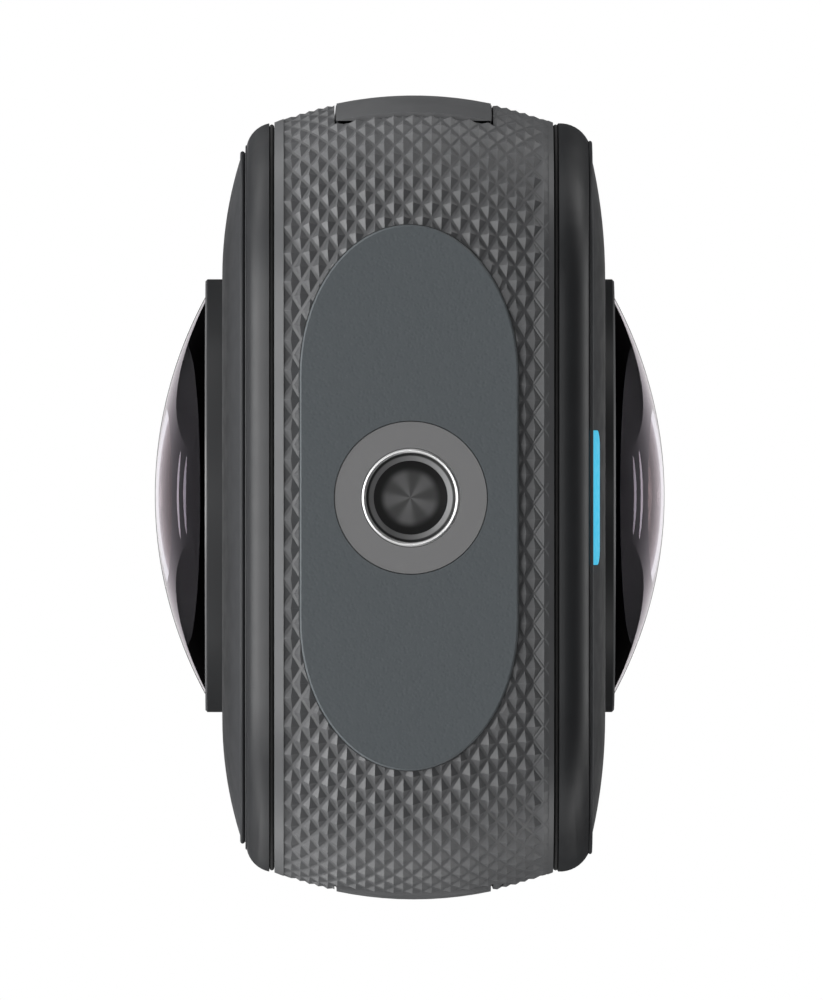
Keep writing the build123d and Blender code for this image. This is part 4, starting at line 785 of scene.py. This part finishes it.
class CAMERA_OT_edges(Operator):
    """Makes the rolled edges of the rims and covers, thin round beads along each edge"""

    bl_idname = "twin_lens.edges"
    bl_label = "Shell edges"

    def execute(self, context):
        body, size = context.scene.twin_lens_body, context.scene.twin_lens_edges
        for name, (side, beads) in BEADS.items():
            points, faces, start = [], [], 0
            for inset, depth, radius in beads:
                ring, quads = bead_loop(body, side, inset * MM, depth * MM, radius * MM)
                faces += (quads + start).tolist()
                points.append(ring)
                start += len(ring)
            mesh_object(name, np.concatenate(points), faces, "camera", "shell", smooth=True)
        cords, quads = bead_loop(body, 1, size.seam_inset, size.seam_depth, size.seam_wire)
        front = cords * (1, -1, 1)
        faces = np.concatenate([quads, quads + len(cords)])
        mesh_object("seam_cords", np.concatenate([cords, front]), faces, "camera", "seal_rubber", smooth=True)
        for name, side in (("front_door_cord", -1), ("rear_door_cord", 1)):
            mesh_object(name, *door_cord(body, size, side), "camera", "frame_polymer")
        return {"FINISHED"}


class CAMERA_OT_finishes(Operator):
    """Gives every solid and every new piece its procedural finish"""

    bl_idname = "twin_lens.finishes"
    bl_label = "Finishes"

    def execute(self, context):
        c = context.scene.twin_lens_colours
        skin, base, shell, cover = (tuple(v) for v in (c.skin, c.base, c.shell, c.cover))
        place = context.scene.twin_lens_thread.place
        dome, inner, ring = (Round("front_" + n) for n in ("dome_lens", "inner_lens", "lens_ring"))
        finishes = {
            "frame_polymer": polymer("frame_polymer", skin, 0.42, 14000, 2e-6),
            "knurled_skin": knurled_polymer("knurled_skin", skin),
            "shell": polymer("shell_satin", shell, 0.4, 12000, 2e-6, specular=0.35),
            "cover": cover_polymer("cover_satin", cover, 10.0 * MM, 11.05 * MM),
            "base": base_polymer("base_grain", base),
            "thread_metal": turned_metal("socket_metal", tuple(c.metal), place),
            "screw_steel": metal("screw_steel", (0.5, 0.5, 0.5), 0.3),
            "lens_ring": ring_metal("lens_ring", (0.03, 0.031, 0.033), ring),
            "lens_glass": coated_glass("lens_glass", (0.80, 0.74, 0.82), (0.22, 0.17, 0.23), 136.0, dome),
            "inner_glass": coated_glass("inner_glass", (0.30, 0.32, 0.30), (0.30, 0.32, 0.30), 110.0, inner),
            "barrel_black": polymer("barrel_black", (0.012, 0.012, 0.014), 0.55),
            "seal_rubber": rubber("seal_rubber", (0.012, 0.012, 0.012)),
            "sensor_chip": polymer("sensor_chip", (0.05, 0.05, 0.09), 0.15),
            "circuit_board": board("circuit_board", (0.015, 0.08, 0.045)),
            "chip_black": polymer("chip_black", (0.02, 0.02, 0.022), 0.45),
            "bracket_metal": metal("bracket_metal", (0.6, 0.6, 0.62), 0.35),
            "shield_metal": metal("shield_metal", (0.65, 0.65, 0.65), 0.25),
            "flex_film": polymer("flex_film", (0.42, 0.2, 0.045), 0.3),
            "screen_glass": dark_glass("screen_glass", (0.008, 0.008, 0.01)),
            "display": polymer("display_dark", (0.01, 0.01, 0.012), 0.12),
            "button_polymer": polymer("button_polymer", (0.045, 0.046, 0.05), 0.4),
            "door_polymer": polymer("door_polymer", skin, 0.42, 12000, 2.5e-6),
            "latch_polymer": polymer("latch_polymer", (0.07, 0.07, 0.075), 0.45),
            "battery_case": polymer("battery_wrap", (0.045, 0.045, 0.05), 0.5),
            "bay_polymer": polymer("bay_polymer", (0.03, 0.03, 0.032), 0.5),
            "contact_gold": metal("contact_gold", (0.85, 0.62, 0.25), 0.2),
            "port_metal": metal("port_metal", (0.6, 0.6, 0.6), 0.25),
            "card_polymer": polymer("card_polymer", (0.02, 0.02, 0.022), 0.4),
            "pin_steel": metal("pin_steel", (0.55, 0.55, 0.55), 0.2),
            "light_lens": lit_window("light_window", tuple(c.light)),
        }
        for row in frame["record"]["subparts"]:
            dress(frame["nodes"][row["node"]], finishes[row["material_slot"]])
        # Painted highlight: the beads are a lighter copy of the shell's colour, so the edges read as light
        # lines.
        edge = polymer("edge_roll_painted_highlight", shade(shell, 1.6), 0.4, specular=0.2)
        added = {
            "knurled_skin": finishes["knurled_skin"],
            "front_edge_beads": edge,
            "rear_edge_beads": edge,
            "seam_cords": finishes["seal_rubber"],
            "front_dome": finishes["lens_glass"],
            "rear_dome": finishes["lens_glass"],
            "front_door_cord": finishes["frame_polymer"],
            "rear_door_cord": finishes["frame_polymer"],
            "socket_lip": metal("lip_metal", (0.6, 0.6, 0.6), 0.33, 4000, 2e-7),
            "screw_thread": thread_metal("thread_turns", tuple(c.metal), place),
        }
        for name, material in added.items():
            dress(bpy.data.objects[name], material)
        return {"FINISHED"}


def dress(item, material):
    """Puts the material in all of the object's slots."""
    if not item.material_slots:
        item.data.materials.append(material)
    for entry in item.material_slots:
        entry.material = material


# ---------------------------------------------------------------- studio


# Each lamp's name, place, width and power. The middle of the body is what they face.
LAMPS = (
    ("rear_low_lamp", (0.0, 0.43, -0.32), 0.50, 2.4),
    ("front_low_lamp", (0.0, -0.55, 0.22), 0.30, 0.6),
    ("upper_left_lamp", (-0.7, -0.6, 0.35), 0.45, 2.8),
    ("upper_right_lamp", (0.75, -0.5, 0.3), 0.45, 2.0),
    ("rear_left_lamp", (-0.65, 0.45, 0.4), 0.45, 3.5),
    ("rear_right_lamp", (0.65, 0.45, 0.4), 0.45, 3.5),
    ("foot_lamp", (0.0, 0.0, -1.2), 0.10, 0.6),
    ("rear_side_lamp", (0.0, 0.75, -0.05), 0.40, 2.2),
    ("front_left_lamp", (-0.45, -0.45, 0.0), 0.30, 0.2),
    ("front_right_lamp", (0.45, -0.45, 0.0), 0.30, 0.2),
    ("rear_left_low_lamp", (-0.5, 0.5, 0.0), 0.30, 0.3),
    ("rear_right_low_lamp", (0.5, 0.5, 0.0), 0.30, 0.3),
)
# Thin strips that only the domes mirror: each one's depth, height and power.
STRIPS = ((0.278, 0.415, 0.005), (0.310, 0.392, 0.005), (-0.278, 0.415, 0.005), (-0.310, 0.392, 0.005))
STRIP_SIZE = (0.065, 0.014)
# Each dark flag's name, the axis it lies along, whether its cloth thins towards the middle, its half
# length, and where its two long edges lie.
FLAGS = (
    ("low_flag", 0, False, 0.7, (-0.05, -0.42), (-0.56, -0.10)),
    ("rear_flag", 0, True, 0.6, (0.12, 0.68), (0.70, 0.25)),
    ("front_flag", 0, True, 0.6, (-0.12, 0.68), (-0.70, 0.25)),
    ("rear_edge_flag", 0, False, 0.6, (0.022, 0.70), (0.075, 0.70)),
    ("front_edge_flag", 0, False, 0.6, (-0.022, 0.70), (-0.075, 0.70)),
    ("left_flag", 1, False, 0.6, (0.07, 0.66), (0.72, 0.08)),
    ("right_flag", 1, False, 0.6, (-0.07, 0.66), (-0.72, 0.08)),
)


class CAMERA_OT_studio(Operator):
    """Sets the floor, the lamps, the flags, the plain surroundings and the camera below the foot"""

    bl_idname = "twin_lens.studio"
    bl_label = "Studio"

    def execute(self, context):
        scene, size = context.scene, context.scene.twin_lens_studio
        scene.view_settings.view_transform = "Standard"
        self.floor()
        for flag in FLAGS:
            self.flag(*flag)
        self.world(scene, size.surroundings)
        for name, place, width, power in LAMPS:
            self.lamp(scene, name, Vector(place), width, power)
        for number, (depth, height, power) in enumerate(STRIPS):
            place = Vector((0.0, depth, height))
            strip = self.lamp(scene, f"strip_{number + 1}", place, STRIP_SIZE[0], power)
            strip.data.shape, strip.data.size_y = "ELLIPSE", STRIP_SIZE[1]
        self.snoot(scene)
        self.camera(scene, size)
        return {"FINISHED"}

    def panel(self, name, corners):
        """A flat stage object with these four corners."""
        mesh = bpy.data.meshes.new(name)
        mesh.from_pydata(corners, [], [(0, 1, 2, 3)])
        item = bpy.data.objects.new(name, mesh)
        bpy.context.scene.collection.objects.link(item)
        return item

    def floor(self):
        """A pale floor at the foot, which is clear from below and lets the low lamps through."""
        half, low = 6.0, -0.2 * MM
        corners = [(-half, -half, low), (half, -half, low), (half, half, low), (-half, half, low)]
        item = self.panel("floor", corners)
        m = Maker("floor_paper")
        tone = m.mix((0.84, 0.84, 0.84), m.noise(900, 3), (0.88, 0.88, 0.88))
        face = m.node("ShaderNodeBsdfDiffuse", 0, None, {"Color": tone})
        clear = m.node("ShaderNodeBsdfTransparent")
        back = m.node("ShaderNodeNewGeometry", "Backfacing")
        paper = m.node("ShaderNodeMixShader", 0, None, {0: back, 1: face, 2: clear})
        item.data.materials.append(m.output(paper))
        item.visible_shadow = item.visible_diffuse = item.visible_glossy = False

    def flag(self, name, axis, thin, half, near, far):
        """A dark card, which only glossy faces see; a thin one's cloth clears towards the middle."""
        corners = [(-half, *near), (half, *near), (half, *far), (-half, *far)]
        if axis:
            corners = [(y, x, z) for x, y, z in corners]
        item = self.panel(name, corners)
        m = Maker(name + "_cloth")
        tone = m.mix((0.004, 0.004, 0.004), m.noise(40, 2), (0.01, 0.01, 0.01))
        cloth = m.node("ShaderNodeBsdfDiffuse", 0, None, {"Color": tone})
        clear = m.node("ShaderNodeBsdfTransparent")
        thick = m.axes()[1].size().ramp(0.13, 0.45) if thin else 1.0
        card = m.node("ShaderNodeMixShader", 0, None, {0: thick, 1: clear, 2: cloth})
        item.data.materials.append(m.output(card))
        item.visible_camera = item.visible_diffuse = item.visible_shadow = item.visible_transmission = False

    def lamp(self, scene, name, place, width, power):
        """A square soft lamp that faces the middle of the body."""
        light = bpy.data.lights.new(name, "AREA")
        light.shape, light.size, light.energy = "SQUARE", width, power
        item = bpy.data.objects.new(name, light)
        back = (place - Vector((0.0, 0.0, 0.03))).normalized()
        side = back.cross(Vector((1.0, 0.0, 0.0))).normalized()
        turn = Matrix((side.cross(back), side, back)).transposed().to_4x4()
        item.matrix_world = Matrix.Translation(place) @ turn
        item.visible_camera = False
        scene.collection.objects.link(item)
        return item

    def snoot(self, scene):
        """A narrow lamp under the foot that lights the socket's hole."""
        light = bpy.data.lights.new("snoot", "SPOT")
        light.energy, light.shadow_soft_size = 0.38, 0.002
        light.spot_size, light.spot_blend = np.radians(1.0), 0.1
        item = bpy.data.objects.new("snoot", light)
        item.matrix_world = Matrix.Translation((0.0, 0.0002, -0.3)) @ Matrix.Rotation(np.pi, 4, "X")
        item.visible_camera = item.visible_glossy = False
        scene.collection.objects.link(item)

    def world(self, scene, strength):
        """Plain white for the camera, gloss and glass, and a dim white for soft light."""
        world = bpy.data.worlds.new("surroundings")
        world.use_nodes = True
        tree = world.node_tree
        tree.nodes.clear()
        path = tree.nodes.new("ShaderNodeLightPath")
        seen = path.outputs["Is Camera Ray"]
        for kind in ("Is Glossy Ray", "Is Transmission Ray"):
            either = tree.nodes.new("ShaderNodeMath")
            either.operation = "MAXIMUM"
            tree.links.new(seen, either.inputs[0])
            tree.links.new(path.outputs[kind], either.inputs[1])
            seen = either.outputs[0]
        mix, out = tree.nodes.new("ShaderNodeMixShader"), tree.nodes.new("ShaderNodeOutputWorld")
        tree.links.new(seen, mix.inputs[0])
        for socket, value in ((1, strength), (2, 1.0)):
            light = tree.nodes.new("ShaderNodeBackground")
            light.inputs["Color"].default_value = (1, 1, 1, 1)
            light.inputs["Strength"].default_value = value
            tree.links.new(light.outputs[0], mix.inputs[socket])
        tree.links.new(mix.outputs[0], out.inputs["Surface"])
        scene.world = world

    def camera(self, scene, size):
        """A very long lens far below the foot, with the picture's top towards the left side."""
        lens = bpy.data.cameras.new("long_lens")
        lens.sensor_width = 36.0
        lens.lens = lens.sensor_width * size.distance / size.frame_height
        lens.clip_start, lens.clip_end = 0.1, 20.0
        item = bpy.data.objects.new("long_lens", lens)
        aim = Vector((0.00013, 0.00016, 0.0))
        place = aim + Vector((-size.side, size.offset, -size.distance))
        look = (aim - place).normalized()
        up = Vector((-1.0, 0.0, 0.0))
        right = look.cross(up).normalized()
        up = right.cross(look)
        item.matrix_world = Matrix.Translation(place) @ Matrix((right, up, -look)).transposed().to_4x4()
        scene.collection.objects.link(item)
        scene.camera = item


class CAMERA_PT_panel(Panel):
    """Lists the steps that dress the solids"""

    bl_label = "Twin-lens camera"
    bl_idname = "CAMERA_PT_panel"
    bl_space_type = "VIEW_3D"
    bl_region_type = "UI"
    bl_category = "Twin-lens camera"

    def draw(self, context):
        for step in STEPS:
            self.layout.operator(step.bl_idname)


GROUPS = {
    "twin_lens_body": BodySizes, "twin_lens_knurl": KnurlSizes, "twin_lens_thread": ThreadSizes,
    "twin_lens_edges": EdgeSizes, "twin_lens_domes": DomeSizes, "twin_lens_colours": Colours,
    "twin_lens_studio": StudioSizes,
}
STEPS = (
    CAMERA_OT_knurl, CAMERA_OT_thread, CAMERA_OT_edges, CAMERA_OT_domes, CAMERA_OT_finishes, CAMERA_OT_studio
)


def register():
    for kind in (*GROUPS.values(), *STEPS, CAMERA_PT_panel):
        bpy.utils.register_class(kind)
    for name, kind in GROUPS.items():
        setattr(bpy.types.Scene, name, PointerProperty(type=kind))


def unregister():
    for name in GROUPS:
        delattr(bpy.types.Scene, name)
    for kind in reversed((*GROUPS.values(), *STEPS, CAMERA_PT_panel)):
        bpy.utils.unregister_class(kind)


def main():
    register()
    for step in STEPS:
        group, name = step.bl_idname.split(".")
        getattr(getattr(bpy.ops, group), name)()


if __name__ == "__main__":
    main()
